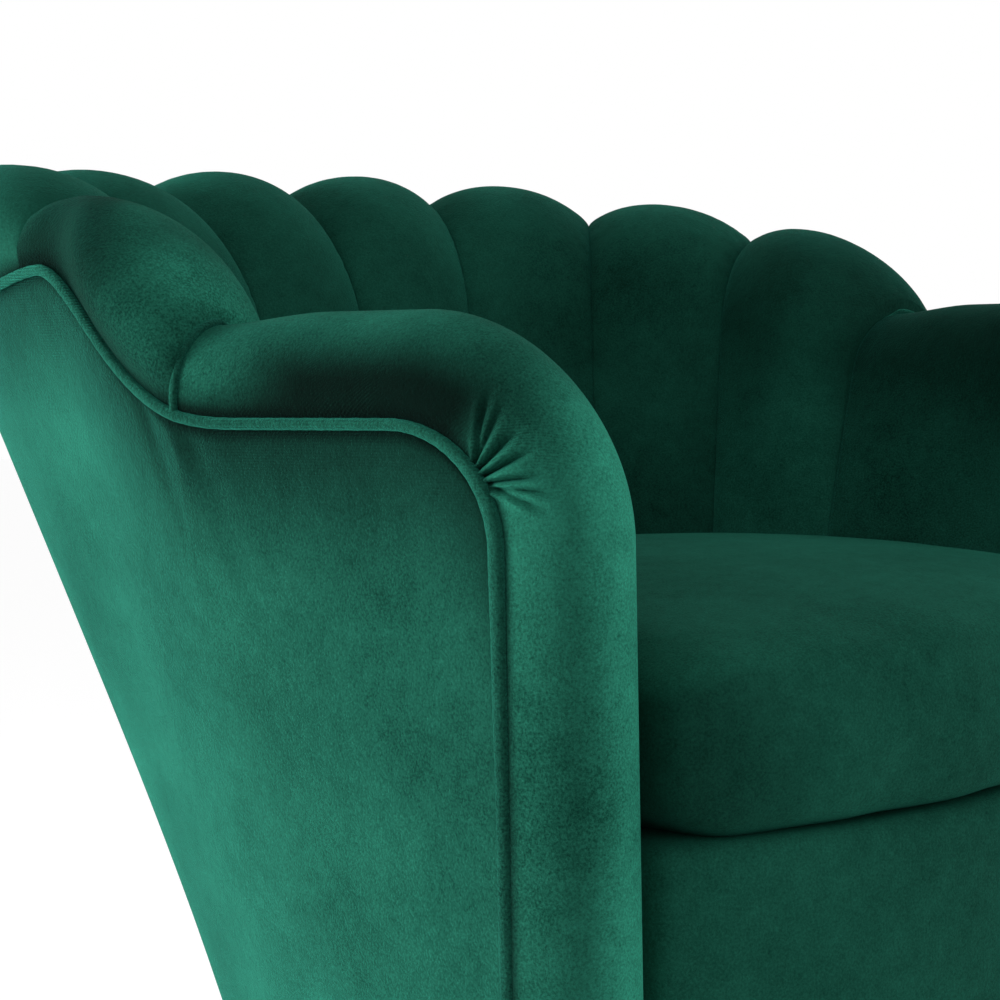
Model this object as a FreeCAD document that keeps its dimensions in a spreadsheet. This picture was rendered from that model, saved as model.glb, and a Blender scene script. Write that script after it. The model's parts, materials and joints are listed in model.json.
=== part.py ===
import FreeCAD, Part
import math
import os
import Sketcher
from types import SimpleNamespace

Vector = FreeCAD.Vector
Rotation = FreeCAD.Rotation
Placement = FreeCAD.Placement
UP = Vector(0, 0, 1)
SIDES = (("left", -1), ("right", 1))

os.makedirs("parts", exist_ok=True)
doc = FreeCAD.newDocument("scalloped_armchair")
sheet = doc.addObject("Spreadsheet::Sheet", "sizes")

# The chair faces -Y, its left arm is at -X, and it stands on Z = 0.
# The top welt is the cord round the outside of the back and arms; its plan leads the shape.
SIZES = (
    ("welt_half_width", 436, "widest half width of the top welt, beside the seat"),
    ("welt_shoulder_place", -25, "Y where the welt's round back meets its straight side"),
    ("welt_back_place", 413, "Y of the top welt at the middle of the back"),
    ("crease_draw", 1, "the welt where arm and wing meet, in from its widest"),
    ("crease_place", -78, "Y of the welt where arm and wing meet"),
    ("arm_front_draw", 45, "the welt at the front corner of the arm, in from the crease"),
    ("arm_front_place", -295, "Y of the welt at the front corner of the arm"),
    ("arm_welt_height", 589, "Z of the welt along the arm"),
    ("back_welt_height", 683, "Z of the welt round the back"),
    ("welt_rise_before", 40, "length of welt in front of the crease that already climbs"),
    ("welt_rise_after", 125, "length of welt behind the crease until it runs level"),
    ("welt_corner_radius", 70, "turn of the welt from the arm's top to its front"),
    ("welt_radius", 4.5, "half the thickness of the covered cord"),
    # The lower edge of the outside covers
    ("skirt_height", 180, "Z of the covers' lower edge"),
    ("skirt_draw", 4, "the lower edge at the front, in from the welt's front corner"),
    ("skirt_back_place", 186, "Y of the lower edge at the middle of the back"),
    # The channelled inside of the back
    ("inside_back_place", 223, "Y of the channel seams at seat height"),
    ("crease_depth", 137, "thickness of the side at the crease, at seat height"),
    ("seat_line_height", 458, "Z where the channels pass the top of the cushion"),
    ("notch_inset", 35, "the scallops' top line, in from the welt"),
    ("notch_height_wing", 656, "Z of the top line at the crease"),
    ("notch_height_side", 713, "Z of the notch beside the seat"),
    ("notch_height_corner", 732, "Z of the notch at the back corner"),
    ("notch_height_back", 749, "Z of the notches across the back"),
    ("scallop_rise", 33, "height of a scallop's crest over its notches"),
    ("channel_crown", 15, "how far a channel's middle stands out from its seams"),
    ("shoulder_setback", 26, "the inside face at its shoulder, back from the seat line"),
    ("shoulder_drop", 45, "the least drop from the top line to the shoulder"),
    ("toe_draw", 8, "the channels' foot, in from the seat line"),
    ("foot_padding", 9, "the least thickness of the channels at their foot"),
    ("frame_depth", 25, "room for ribs and posts between the cover and the channels"),
    # The padded arms
    ("arm_width", 94, "width of the arm roll"),
    ("arm_roll_rise", 65, "height of the roll over the welt"),
    ("arm_front_reach", 57, "reach of the roll in front of the welt"),
    ("arm_crest_wing", 652, "Z of the arm's top at the crease"),
    ("arm_wall", 44, "padding on the inside of the arm frame"),
    # The loose seat cushion
    ("cushion_front_reach", 128, "how far the cushion's front stands before the arms' corners"),
    ("cushion_front_bow", 85, "how far the middle of the front stands out"),
    ("cushion_front_room", 16, "the front's ends, in from the side at the crease"),
    ("cushion_back_room", 28, "the back's ends, in from the side at the crease"),
    ("cushion_edge_height", 450, "Z of the cushion's top edge"),
    ("cushion_crown_height", 475, "Z of the crown"),
    ("cushion_boxing_swell", 9, "how far the sides swell between the edges"),
    ("cushion_side_drop", 10, "how much lower the crown is at the sides"),
    ("cushion_side_draw", 22, "how far the edges draw in at the sides"),
    ("cushion_gap", 3, "room between the cushion and what stands round it"),
    # The seat
    ("rail_height", 138, "height of the seat rails"),
    ("rail_thickness", 24, "thickness of the seat rails"),
    ("rail_base_height", 183, "Z of the rails' lower edge"),
    ("front_rail_setback", 31, "the front rail's front face, behind the arms' corners"),
    ("side_rail_draw", 46, "the side rails' outer face at the front, in from the covers' edge"),
    ("deck_thickness", 9, "thickness of the seat deck board"),
    ("deck_opening_half_width", 200, "half width of the opening under the webbing"),
    ("deck_opening_front", -214, "Y of the opening's front edge"),
    ("deck_opening_back", 96, "Y of the opening's back edge"),
    ("deck_opening_radius", 60, "corner radius of the opening"),
    ("webbing_width", 50, "width of a strap"),
    ("webbing_thickness", 1.5, "thickness of a strap"),
    ("webbing_lap", 14, "length of a strap on the deck board at each end"),
    ("deck_edge_room", 1, "the deck board's edge, out from the channels' back"),
    ("deck_cloth_thickness", 1, "thickness of the cloth over the straps"),
    ("deck_cloth_margin", 24, "how far the cloth reaches past the opening"),
    ("border_depth", 60, "depth of the padded front border"),
    ("border_bow", 82, "how far the middle of the border stands out"),
    ("border_room", 3, "room between the border and the arms' fronts"),
    ("border_edge_radius", 12, "round of the border's top edge"),
    ("dust_cover_thickness", 1.2, "thickness of the cloth below the frame"),
    # The frame above the rails
    ("rib_thickness", 15, "thickness of the bent ribs"),
    ("rib_height", 40, "height of the bent ribs"),
    ("rib_drop", 6, "the ribs' top edge, down from the welt"),
    ("rib_setback", 5, "the ribs, in from the outside of the covers"),
    ("post_width", 30, "width of the wing and back posts"),
    ("post_thickness", 10, "thickness of the wing and back posts"),
    ("post_setback", 10, "the wing and back posts, in from the outside of the covers"),
    ("wing_post_place", 560, "welt length from the middle of the back to a wing post"),
    ("back_post_place", 245, "welt length from the middle of the back to a back post"),
    ("arm_post_width", 34, "width of an arm post along the arm"),
    ("arm_post_thickness", 24, "thickness of an arm post"),
    ("arm_post_inset", 14, "the arm post, in from the outside of the covers at its foot"),
    ("arm_post_setback", 13, "the arm post, behind the welt at the front"),
    ("arm_rail_inset", 12, "the arm rail, in from the welt"),
    ("arm_rail_width", 34, "width of the flat arm rail"),
    ("arm_rail_thickness", 22, "thickness of the flat arm rail"),
    ("arm_rail_drop", 6, "the arm rail's top, down from the welt"),
    ("arm_rail_setback", 36, "the arm rail's end, behind the welt at the front"),
    # The covers
    ("cover_thickness", 2, "velvet and card of the outside covers"),
    ("cover_seam_place", 334, "welt length from the middle of the back to a cover seam"),
    # The legs and their fastening
    ("leg_top_radius", 18, "radius of a leg under the frame"),
    ("leg_foot_radius", 9, "radius of a leg at its foot"),
    ("leg_splay", 26, "how far a foot stands out from the leg's top, along X and along Y"),
    ("glide_radius", 8, "radius of the glide under a leg"),
    ("glide_height", 5, "height of the glide"),
    ("stud_radius", 4, "radius of the stud that joins a leg to its block"),
    ("stud_room", 0.2, "room round the stud in its bores"),
    ("stud_length", 44, "length of the stud"),
    ("stud_depth_in_leg", 16, "length of the stud inside the leg"),
    ("nut_radius", 9, "radius of the flanged nut over the block"),
    ("nut_height", 3, "height of the flanged nut"),
    ("block_width", 72, "side of a leg block"),
    ("block_height", 22, "height of a leg block"),
    # Clearances
    ("seat_gap", 0.3, "room between a soft piece and what it sits against"),
    ("welt_room", 1, "room between the welt and the covers below it"),
    ("roll_room", 1.6, "room between the welt and the padding over it"),
)

# Shares and counts
PLAN_POWER_SHARE = 2.358
SKIRT_POWER_SHARE = 2.4
INSIDE_POWER_SHARE = 2.6
SHOULDER_DROP_SHARE = 0.45
CROWN_AT_SHOULDER_SHARE = 0.9
CHANNEL_COUNT = 9
CURVE_STEPS = 600
CHANNEL_SECTION_SHARES = (0.0, 0.06, 0.16, 0.28, 0.42, 0.58, 0.72, 0.84, 0.94, 1.0)
CUSHION_SECTION_SHARES = (-1.0, -0.96, -0.88, -0.6, -0.3, 0.0, 0.3, 0.6, 0.88, 0.96, 1.0)
CUSHION_DRAW_START_SHARE = 0.88
WEBBING_ACROSS_COUNT = 4
WEBBING_ALONG_COUNT = 5
CORNER_STEPS = 5
BACK_STEPS = 10
DIP_STEPS = 7
CORD_SIDES = 8
LEG_SIDES = 32
ROLL_CHORDS = 9
INSIDE_CHORDS = 6
SWELL_CHORDS = 4
CROWN_CHORDS = 8
COVER_STEPS = 6
RIB_STEPS = 6
ARM_STEPS = 6
DECK_STEPS = 12
BACK_LEG_SHARE = 0.36

for row, (alias, value, meaning) in enumerate(SIZES, start=1):
    sheet.set(f"A{row}", meaning)
    sheet.set(f"B{row}", str(value))
    sheet.setAlias(f"B{row}", alias)
doc.recompute()
size = SimpleNamespace(**{alias: float(sheet.get(alias)) for alias, value, meaning in SIZES})
nodes = []


def keep(feature, name):
    """Names a finished sub-part, so that it is checked and written."""
    feature.Label = name
    nodes.append(feature)
    return feature


def solid_feature(name, shape, placement=None):
    """A sub-part whose shape comes from the plan curves."""
    feature = doc.addObject("Part::Feature", name + "_form")
    feature.Shape = shape
    if placement:
        feature.Placement = placement
    return keep(feature, name)


def box(name, length, width_cell, height_cell, placement):
    """A plank whose section is bound to the sheet and whose length follows the plan."""
    plank = doc.addObject("Part::Box", name + "_plank")
    plank.Length = length
    plank.setExpression("Width", "sizes." + width_cell)
    plank.setExpression("Height", "sizes." + height_cell)
    plank.Placement = placement
    return plank


def halves(corners):
    """The two triangles of a four-cornered patch, parted by its shorter diagonal."""
    first, second, third, fourth = corners
    if first.distanceToPoint(third) < second.distanceToPoint(fourth):
        return [first, second, third], [first, third, fourth]
    return [first, second, fourth], [second, third, fourth]


def faceted_solid(rings):
    """A solid of flat faces through flat rings of points, one ring to a section."""
    outlines = [rings[0], rings[-1]]
    for near, far in zip(rings, rings[1:]):
        for step, corner in enumerate(near):
            following = (step + 1) % len(near)
            outlines += halves([corner, near[following], far[following], far[step]])
    faces = [Part.Face(Part.makePolygon(outline + outline[:1])) for outline in outlines]
    shell = Part.makeShell(faces)
    shell.sewShape()
    solid = Part.makeSolid(shell)
    if solid.Volume < 0:
        solid.reverse()
    return solid


# Plan curves


class PlanCurve:
    """Half of a plan outline, from the middle of the back round to the right front."""

    def __init__(self, points):
        self.points = points
        self.lengths = [0.0]
        for start, end in zip(points, points[1:]):
            self.lengths.append(self.lengths[-1] + start.distanceToPoint(end))

    @property
    def length(self):
        return self.lengths[-1]

    def at(self, distance):
        """The point at a length from the middle; a negative length is on the left."""
        reach = min(abs(distance), self.length)
        step = next(i for i, end in enumerate(self.lengths[1:]) if end >= reach)
        start, end = self.lengths[step], self.lengths[step + 1]
        share = (reach - start) / (end - start)
        point = self.points[step] + (self.points[step + 1] - self.points[step]) * share
        return Vector(math.copysign(point.x, distance), point.y, 0)

    def crossing(self, origin, direction):
        """How far along a direction from an origin on the right half the curve is met."""
        across = direction.cross(UP)
        for start, end in zip(self.points, self.points[1:]):
            before = (start - origin).dot(across)
            after = (end - origin).dot(across)
            if before * after <= 0 and before != after:
                meeting = start + (end - start) * (before / (before - after))
                return (meeting - origin).dot(direction)
        raise ValueError("the plan curve isn't met")


def round_back(half_width, side_place, back_place, power):
    """A rounded back in plan: a quarter of a superellipse from the middle to the side."""
    points = []
    for step in range(CURVE_STEPS + 1):
        angle = math.pi / 2 * step / CURVE_STEPS
        across = half_width * math.sin(angle) ** (2 / power)
        along = (back_place - side_place) * math.cos(angle) ** (2 / power)
        points.append(Vector(across, side_place + along, 0))
    return points


crease_point = Vector(size.welt_half_width - size.crease_draw, size.crease_place, 0)
arm_corner_point = Vector(crease_point.x - size.arm_front_draw, size.arm_front_place, 0)
skirt_half_width = arm_corner_point.x - size.skirt_draw
front_rail_place = size.arm_front_place + size.front_rail_setback
arm_length = crease_point.distanceToPoint(arm_corner_point)
arm_forward = (arm_corner_point - crease_point).normalize()
arm_inward = UP.cross(arm_forward) * -1
crease_inside_point = crease_point + arm_inward * size.crease_depth

welt_curve = PlanCurve(
    round_back(size.welt_half_width, size.welt_shoulder_place, size.welt_back_place, PLAN_POWER_SHARE)
    + [crease_point]
)
inside_curve = PlanCurve(
    round_back(crease_inside_point.x, crease_inside_point.y, size.inside_back_place, INSIDE_POWER_SHARE)
)
skirt_curve = PlanCurve(
    round_back(skirt_half_width, size.arm_front_place, size.skirt_back_place, SKIRT_POWER_SHARE)
    + [Vector(skirt_half_width, size.arm_front_place - size.arm_roll_rise, 0)]
)
channel_pitch = 2 * welt_curve.length / CHANNEL_COUNT
NOTCH_HEIGHTS = (
    size.notch_height_back,
    size.notch_height_back,
    size.notch_height_corner,
    size.notch_height_side,
    size.notch_height_wing,
)


def smooth(share):
    """An even rise from 0 to 1 that starts and ends level."""
    share = min(max(share, 0), 1)
    return share * share * (3 - 2 * share)


def welt_height(behind_crease):
    """Z of the welt by its length behind the crease; in front of it the length is negative."""
    rise = size.welt_rise_before + size.welt_rise_after
    climb = size.back_welt_height - size.arm_welt_height
    return size.arm_welt_height + climb * smooth((behind_crease + size.welt_rise_before) / rise)


def notch_height(distance):
    """Z of the scallops' top line by welt length from the middle of the back."""
    place = max(abs(distance) / channel_pitch - 1 / 2, 0)
    step = min(int(place), len(NOTCH_HEIGHTS) - 2)
    share = place - step
    return NOTCH_HEIGHTS[step] + (NOTCH_HEIGHTS[step + 1] - NOTCH_HEIGHTS[step]) * share


class Station:
    """An upright plane across the side of the chair, from the welt towards the seat."""

    def __init__(self, point, inward, inside, welt_z, side):
        self.point = point
        self.inward = inward
        self.inside = inside
        self.welt_z = welt_z
        self.side = side
        self.skirt = skirt_curve.crossing(point, inward)

    def shell(self, height):
        """How far the outside face lies in from the welt at a height."""
        return self.skirt * (self.welt_z - height) / (self.welt_z - size.skirt_height)

    def place(self, inset, height):
        """The point at an inset from the welt and a height."""
        point = self.point + self.inward * inset
        return Vector(point.x * self.side, point.y, height)


def back_station(distance):
    """The plane at a welt length from the middle of the back."""
    side = -1 if distance < 0 else 1
    point = welt_curve.at(abs(distance))
    reach = abs(distance) / welt_curve.length * inside_curve.length
    across = inside_curve.at(reach) - point
    welt_z = welt_height(welt_curve.length - abs(distance))
    return Station(point, across / across.Length, across.Length, welt_z, side)


def arm_station(forward, side, welt_z=None):
    """The plane across an arm at a length in front of the crease."""
    front_share = min(forward / (arm_length - size.welt_corner_radius), 1)
    inside = size.crease_depth + (size.arm_width - size.crease_depth) * smooth(front_share)
    point = crease_point + arm_forward * forward
    height = welt_height(-forward) if welt_z is None else welt_z
    return Station(point, arm_inward, inside, height, side)


def corner_stations(side):
    """The planes round the front corner of the arm, where the welt turns down."""
    stations = []
    for step in range(CORNER_STEPS + 1):
        angle = math.pi / 2 * step / CORNER_STEPS
        forward = arm_length - size.welt_corner_radius * (1 - math.sin(angle))
        drop = size.welt_corner_radius * (1 - math.cos(angle))
        stations.append(arm_station(forward, side, size.arm_welt_height - drop))
    return stations


# Outlines made of lines and arcs


def level_arc_middle(side_spot, top):
    """The middle of the arc that leaves a side point and is level at a top point."""
    across = top[0] - side_spot[0]
    rise = top[1] - side_spot[1]
    radius = (across * across + rise * rise) / (2 * rise)
    turn = math.atan2(abs(across), radius - rise) / 2
    inset = top[0] - math.copysign(radius * math.sin(turn), across)
    return inset, top[1] - radius + radius * math.cos(turn)


def polyline(points):
    """Straight edges through points."""
    return [Part.makeLine(start, end) for start, end in zip(points, points[1:])]


def arc_points(points, chords):
    """Points spread along the arc through three points."""
    return Part.Arc(*points).discretize(Number=chords + 1)


def roll_ring(station, top, inside_top, inside_line):
    """A padded section: the roll over the welt, the inside face, the foot and the back."""
    welt_top = station.welt_z + size.welt_radius + size.roll_room
    start = (0, welt_top)
    foot = deck_top + size.seat_gap
    seat = (inside_line, size.seat_line_height)
    toe = (inside_line + size.toe_draw, foot)
    heel = (min(station.shell(foot) + size.frame_depth, toe[0] - size.foot_padding), foot)
    rear = (size.frame_depth, welt_top)
    over = [station.place(*spot) for spot in (start, level_arc_middle(start, top), top)]
    inner = [station.place(*spot) for spot in (top, level_arc_middle(inside_top, top), inside_top)]
    curved = arc_points(over, ROLL_CHORDS) + arc_points(inner, INSIDE_CHORDS)[1:]
    return curved + [station.place(*spot) for spot in (seat, toe, heel, rear)]


def channel_ring(station, notch_z, swell):
    """The section of a back channel: a seam where swell is 0, the crown where it is 1."""
    top = (size.notch_inset, notch_z + swell * size.scallop_rise)
    crown = swell * size.channel_crown
    shoulder_inset = station.inside - size.shoulder_setback
    drop = size.shoulder_drop + SHOULDER_DROP_SHARE * (shoulder_inset - size.notch_inset)
    shoulder = (shoulder_inset + crown * CROWN_AT_SHOULDER_SHARE, notch_z - drop)
    return roll_ring(station, top, shoulder, station.inside + crown)


deck_base = size.rail_base_height + size.rail_height
deck_top = deck_base + size.deck_thickness


def add_channels():
    """The nine stuffed channels of the wings and the back, seam to seam."""
    gap = size.seat_gap / 2
    for index in range(CHANNEL_COUNT):
        start = -welt_curve.length + index * channel_pitch + gap
        width = channel_pitch - 2 * gap
        rings = []
        for share in CHANNEL_SECTION_SHARES:
            distance = start + width * share
            swell = 4 * share * (1 - share)
            rings.append(channel_ring(back_station(distance), notch_height(distance), swell))
        solid_feature(f"back_channel_{index + 1}", faceted_solid(rings))


def arm_roll_ring(forward, side, crest):
    """The section of an arm in a plane across it."""
    station = arm_station(forward, side)
    half = size.arm_width / 2
    spread = (station.inside - size.arm_width) / 2
    inside_top = (size.arm_width + spread / 2, crest - half)
    return roll_ring(station, (half, crest), inside_top, station.inside)


def arm_placement(side, forward=0, inset=0, height=0):
    """Local X runs along the arm to the front, local Y inwards on the right arm."""
    point = crease_point + arm_forward * forward + arm_inward * inset
    angle = math.degrees(math.atan2(arm_forward.y, arm_forward.x * side))
    return Placement(Vector(point.x * side, point.y, height), Rotation(UP, angle))


def arm_front_shape(side):
    """The front of an arm: a side profile given the roll's width, with both edges rounded."""
    crest = size.arm_welt_height + size.arm_roll_rise
    front = arm_length + size.arm_front_reach
    radius = size.arm_front_reach + size.welt_corner_radius - size.welt_radius
    start = front - radius
    turn = radius * math.cos(math.pi / 4)
    low = size.skirt_height
    points = [Vector(start, 0, low), Vector(start, 0, crest), Vector(front, 0, crest - radius), Vector(front, 0, low)]
    middle = Vector(start + turn, 0, crest - radius + turn)
    edges = [
        Part.makeLine(points[0], points[1]),
        Part.Arc(points[1], middle, points[2]).toShape(),
        Part.makeLine(points[2], points[3]),
        Part.makeLine(points[3], points[0]),
    ]
    inward = Vector(0, -side * size.arm_width, 0)
    block = Part.Face(Part.Wire(edges)).extrude(inward)
    rounded = []
    for edge in block.Edges:
        box_of_edge = edge.BoundBox
        level = box_of_edge.YLength < size.seat_gap
        leading = box_of_edge.XMax > start + size.seat_gap and box_of_edge.ZMax > low + size.seat_gap
        if level and leading:
            rounded.append(edge)
    block = block.makeFillet(size.arm_width / 2 - size.seat_gap, rounded)
    block.Placement = arm_placement(side)
    return block, start


def arm_hollow(side, length, width, low, high, corner_radius=0):
    """A space inside an arm, from behind the crease forwards and from outside inwards."""
    overrun = size.arm_width
    hollow = Part.makeBox(overrun + length, overrun + width, high - low)
    if corner_radius:
        corner = [edge for edge in hollow.Edges if edge.BoundBox.XMin > length and edge.BoundBox.ZMin >= high - low]
        hollow = hollow.makeFillet(corner_radius, corner)
    hollow.translate(Vector(-overrun, -overrun if side < 0 else -width, low))
    hollow.Placement = arm_placement(side).multiply(hollow.Placement)
    return hollow


def add_arm_pads():
    """The padded arms: the roll, its turned-down front and the inside face."""
    for name, side in SIDES:
        front, start = arm_front_shape(side)
        level = size.arm_welt_height + size.arm_roll_rise
        rings = []
        for step in range(ARM_STEPS + 1):
            share = step / ARM_STEPS
            forward = size.seat_gap / 2 + (start - size.seat_gap / 2) * share
            crest = level + (size.arm_crest_wing - level) * (1 - smooth(2 * share))
            rings.append(arm_roll_ring(forward, side, crest))
        roll = faceted_solid(rings)
        inner = size.arm_width - size.arm_wall
        cord = size.welt_radius + size.roll_room
        corner = arm_length + cord
        ceiling = size.arm_welt_height + cord
        floor = size.skirt_height - size.arm_roll_rise
        pad = front.fuse(roll)
        pad = pad.cut(arm_hollow(side, corner, inner, floor, ceiling, size.welt_corner_radius + cord))
        pad = pad.cut(arm_hollow(side, corner, size.crease_depth + size.arm_wall, floor, deck_top + size.seat_gap))
        solid_feature(f"arm_pad_{name}", pad.removeSplitter())


# Covers and welts


def cover_ring(station):
    """A thin upright section of an outside cover, below the welt."""
    top = station.welt_z - size.welt_radius - size.welt_room
    low = size.skirt_height
    spots = (
        (station.shell(low), low),
        (station.shell(top), top),
        (station.shell(top) + size.cover_thickness, top),
        (station.shell(low) + size.cover_thickness, low),
    )
    return [station.place(*spot) for spot in spots]


def even_steps(start, end, count):
    """Lengths spread evenly from a start up to, but not with, an end."""
    return [start + (end - start) * step / count for step in range(count)]


def welt_steps():
    """Welt lengths from the middle of the back to the crease, closer where the welt dips."""
    dip = welt_curve.length - size.welt_rise_after
    return even_steps(0, dip, BACK_STEPS) + even_steps(dip, welt_curve.length, DIP_STEPS)


def arm_steps():
    """Lengths along an arm from the crease: the end of the dip, then the straight."""
    straight = arm_length - size.welt_corner_radius
    return even_steps(0, size.welt_rise_before, 2) + even_steps(size.welt_rise_before, straight, 2)


def cover_stations(side):
    """The planes of a side cover, from its seam behind to the arm's front corner."""
    seam = size.cover_seam_place + size.seat_gap / 2
    stations = [back_station(side * distance) for distance in welt_steps() if distance > seam + channel_pitch / 4]
    stations.insert(0, back_station(side * seam))
    front = arm_length - size.welt_radius - size.welt_room
    forwards = [forward for forward in arm_steps() if forward < front]
    return stations + [arm_station(forward, side) for forward in forwards + [front]]


def cover_corner(side):
    """The waste outside the round at the top front corner of a side cover."""
    cord = size.welt_radius + size.welt_room
    radius = size.welt_corner_radius - cord
    start = arm_length - size.welt_corner_radius
    level = size.arm_welt_height - cord
    past = size.welt_corner_radius
    middle = radius * math.cos(math.pi / 4)
    spots = (
        (start + radius, level - radius),
        (start + radius + past, level - radius),
        (start + radius + past, level + past),
        (start, level + past),
        (start, level),
    )
    points = [Vector(forward, past, height) for forward, height in spots]
    bend = Vector(start + middle, past, level - radius + middle)
    edges = polyline(points) + [Part.Arc(points[-1], bend, points[0]).toShape()]
    waste = Part.Face(Part.Wire(edges)).extrude(Vector(0, -2 * past, 0))
    waste.Placement = arm_placement(side)
    return waste


def add_covers():
    """The outside of the chair in three covers: two sides and the back."""
    for name, side in SIDES:
        rings = [cover_ring(station) for station in cover_stations(side)]
        cover = faceted_solid(rings).cut(cover_corner(side))
        solid_feature(f"outer_cover_{name}", cover)
    reach = size.cover_seam_place - size.seat_gap / 2
    places = [reach * (2 * step / COVER_STEPS - 1) for step in range(COVER_STEPS + 1)]
    rings = [cover_ring(back_station(place)) for place in places]
    solid_feature("outer_cover_back", faceted_solid(rings))


def ring(centre, inward, along, radius):
    """An eight-sided ring across a cord, from a corner on its inner side."""
    first = inward - along * inward.dot(along)
    first.normalize()
    second = along.cross(first)
    spots = []
    for step in range(CORD_SIDES):
        angle = 2 * math.pi * step / CORD_SIDES
        spots.append(centre + (first * math.cos(angle) + second * math.sin(angle)) * radius)
    return spots


def cord_loft(path, inwards, radius):
    """A cord through points, each with a direction for the start of its ring."""
    rings = []
    for index, (point, inward) in enumerate(zip(path, inwards)):
        before = path[max(index - 1, 0)]
        after = path[min(index + 1, len(path) - 1)]
        along = (after - before).normalize()
        rings.append(ring(point, inward, along, radius))
    return faceted_solid(rings)


def welt_half(side):
    """The welt's points from the middle of the back to the foot of one arm's front."""
    stations = [back_station(side * distance) for distance in welt_steps()]
    stations += [arm_station(forward, side) for forward in arm_steps()]
    stations += corner_stations(side)
    points = [station.place(0, station.welt_z) for station in stations]
    inwards = [Vector(station.inward.x * side, station.inward.y, 0) for station in stations]
    foot = size.skirt_height + size.welt_radius
    top = size.arm_welt_height - size.welt_corner_radius
    front = arm_station(arm_length, side)
    for height in (top - size.welt_corner_radius / CORNER_STEPS, foot):
        points.append(stations[-1].place(front.shell(height), height))
        inwards.append(inwards[-1])
    return points, inwards


def add_welts():
    """The welt round the outside, and the short one in the crease of each arm."""
    left_points, left_inwards = welt_half(-1)
    right_points, right_inwards = welt_half(1)
    path = left_points[:0:-1] + right_points
    inwards = left_inwards[:0:-1] + right_inwards
    solid_feature("outer_welt", cord_loft(path, inwards, size.welt_radius))


# Seat cushion


def add_cushion():
    """The loose cushion: a crowned top, bowed front and swelling sides, in upright sections."""
    back = PlanCurve(
        round_back(
            crease_inside_point.x - size.channel_crown - size.cushion_gap,
            crease_inside_point.y,
            size.inside_back_place - size.channel_crown - size.cushion_gap - size.toe_draw,
            INSIDE_POWER_SHARE,
        )
    )
    low = deck_top + size.webbing_thickness * 2 + size.deck_cloth_thickness + size.seat_gap * 3
    cushion_front = size.arm_front_place - size.cushion_front_reach
    rings = []
    for share in CUSHION_SECTION_SHARES:
        front = Vector(
            share * (crease_inside_point.x - size.cushion_front_room),
            cushion_front + size.cushion_front_bow * share * share,
            0,
        )
        rear_x = abs(share) * (crease_inside_point.x - size.cushion_back_room)
        rear = back_point(back, rear_x)
        rear = Vector(math.copysign(rear_x, share), rear.y, 0)
        edge = size.cushion_edge_height - size.cushion_side_drop * share * share
        crown = size.cushion_crown_height - 2 * size.cushion_side_drop * share * share
        draw = max(0, (abs(share) - CUSHION_DRAW_START_SHARE) / (1 - CUSHION_DRAW_START_SHARE))
        draw = size.cushion_side_draw * draw * draw
        rings.append(cushion_ring(front, rear, low + draw, edge - draw, crown - draw))
    solid_feature("seat_cushion", faceted_solid(rings))


def back_point(curve, across):
    """The point of a plan curve at a distance from the middle plane."""
    return next(point for point in curve.points if point.x >= across - size.seat_gap / 100)


def cushion_ring(front, rear, low, edge, crown):
    """One upright section of the cushion from front to back."""
    along = (rear - front).normalize()
    swell = size.cushion_boxing_swell
    front_foot = front + along * swell + UP * low
    front_edge = front + along * swell + UP * edge
    rear_foot = rear - along * swell + UP * low
    rear_edge = rear - along * swell + UP * edge
    front_middle = front + UP * ((low + edge) / 2)
    rear_middle = rear + UP * ((low + edge) / 2)
    top_middle = (front + rear) / 2 + UP * crown
    return (
        arc_points([front_foot, front_middle, front_edge], SWELL_CHORDS)
        + arc_points([front_edge, top_middle, rear_edge], CROWN_CHORDS)[1:]
        + arc_points([rear_edge, rear_middle, rear_foot], SWELL_CHORDS)[1:]
    )


# Seat frame


def prism_body(name, points, base_cell, height_cell):
    """A board with an upright edge all round: a drawn plan, padded to a bound height."""
    body = doc.addObject("PartDesign::Body", name + "_body")
    sketch = body.newObject("Sketcher::SketchObject", name + "_plan")
    plane = next(item for item in body.Origin.OriginFeatures if item.Role == "XY_Plane")
    sketch.AttachmentSupport = [(plane, "")]
    sketch.MapMode = "FlatFace"
    for start, end in zip(points, points[1:] + points[:1]):
        sketch.addGeometry(Part.LineSegment(Vector(start.x, start.y, 0), Vector(end.x, end.y, 0)))
    pad = body.newObject("PartDesign::Pad", name + "_pad")
    pad.Profile = sketch
    pad.setExpression("Length", "sizes." + height_cell)
    body.setExpression(".Placement.Base.z", "sizes." + base_cell)
    return keep(body, name)


def offset_corner(before, corner, after, depth):
    """The inner corner of two boards that meet at an outer corner, both of one thickness."""
    first = (corner - before).normalize()
    second = (after - corner).normalize()
    mitre = UP.cross(first) + UP.cross(second)
    mitre.normalize()
    return corner + mitre * (depth / mitre.dot(UP.cross(first)))


def post_foot(distance):
    """Where the inner face of a leaning post passes the rails' lower edge."""
    station = back_station(distance)
    inset = station.shell(size.rail_base_height) + size.post_setback + size.post_thickness
    return station.place(inset + size.seat_gap, 0)


front_rail_back = front_rail_place + size.rail_thickness
rail_corners = [
    Vector(skirt_half_width - size.side_rail_draw, front_rail_back, 0),
    post_foot(size.wing_post_place),
    post_foot(size.back_post_place),
]
rail_corners += [Vector(-point.x, point.y, 0) for point in reversed(rail_corners)]


def rail_inner_corners():
    """The rails' inner corners, with the front ends square to the front rail."""
    inner = [
        offset_corner(*rail_corners[step - 1 : step + 2], size.rail_thickness)
        for step in range(1, len(rail_corners) - 1)
    ]
    along = (rail_corners[1] - rail_corners[0]).normalize()
    across = size.rail_thickness / along.y
    first = rail_corners[0] - Vector(across, 0, 0)
    return [first] + inner + [Vector(-first.x, first.y, 0)]


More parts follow.
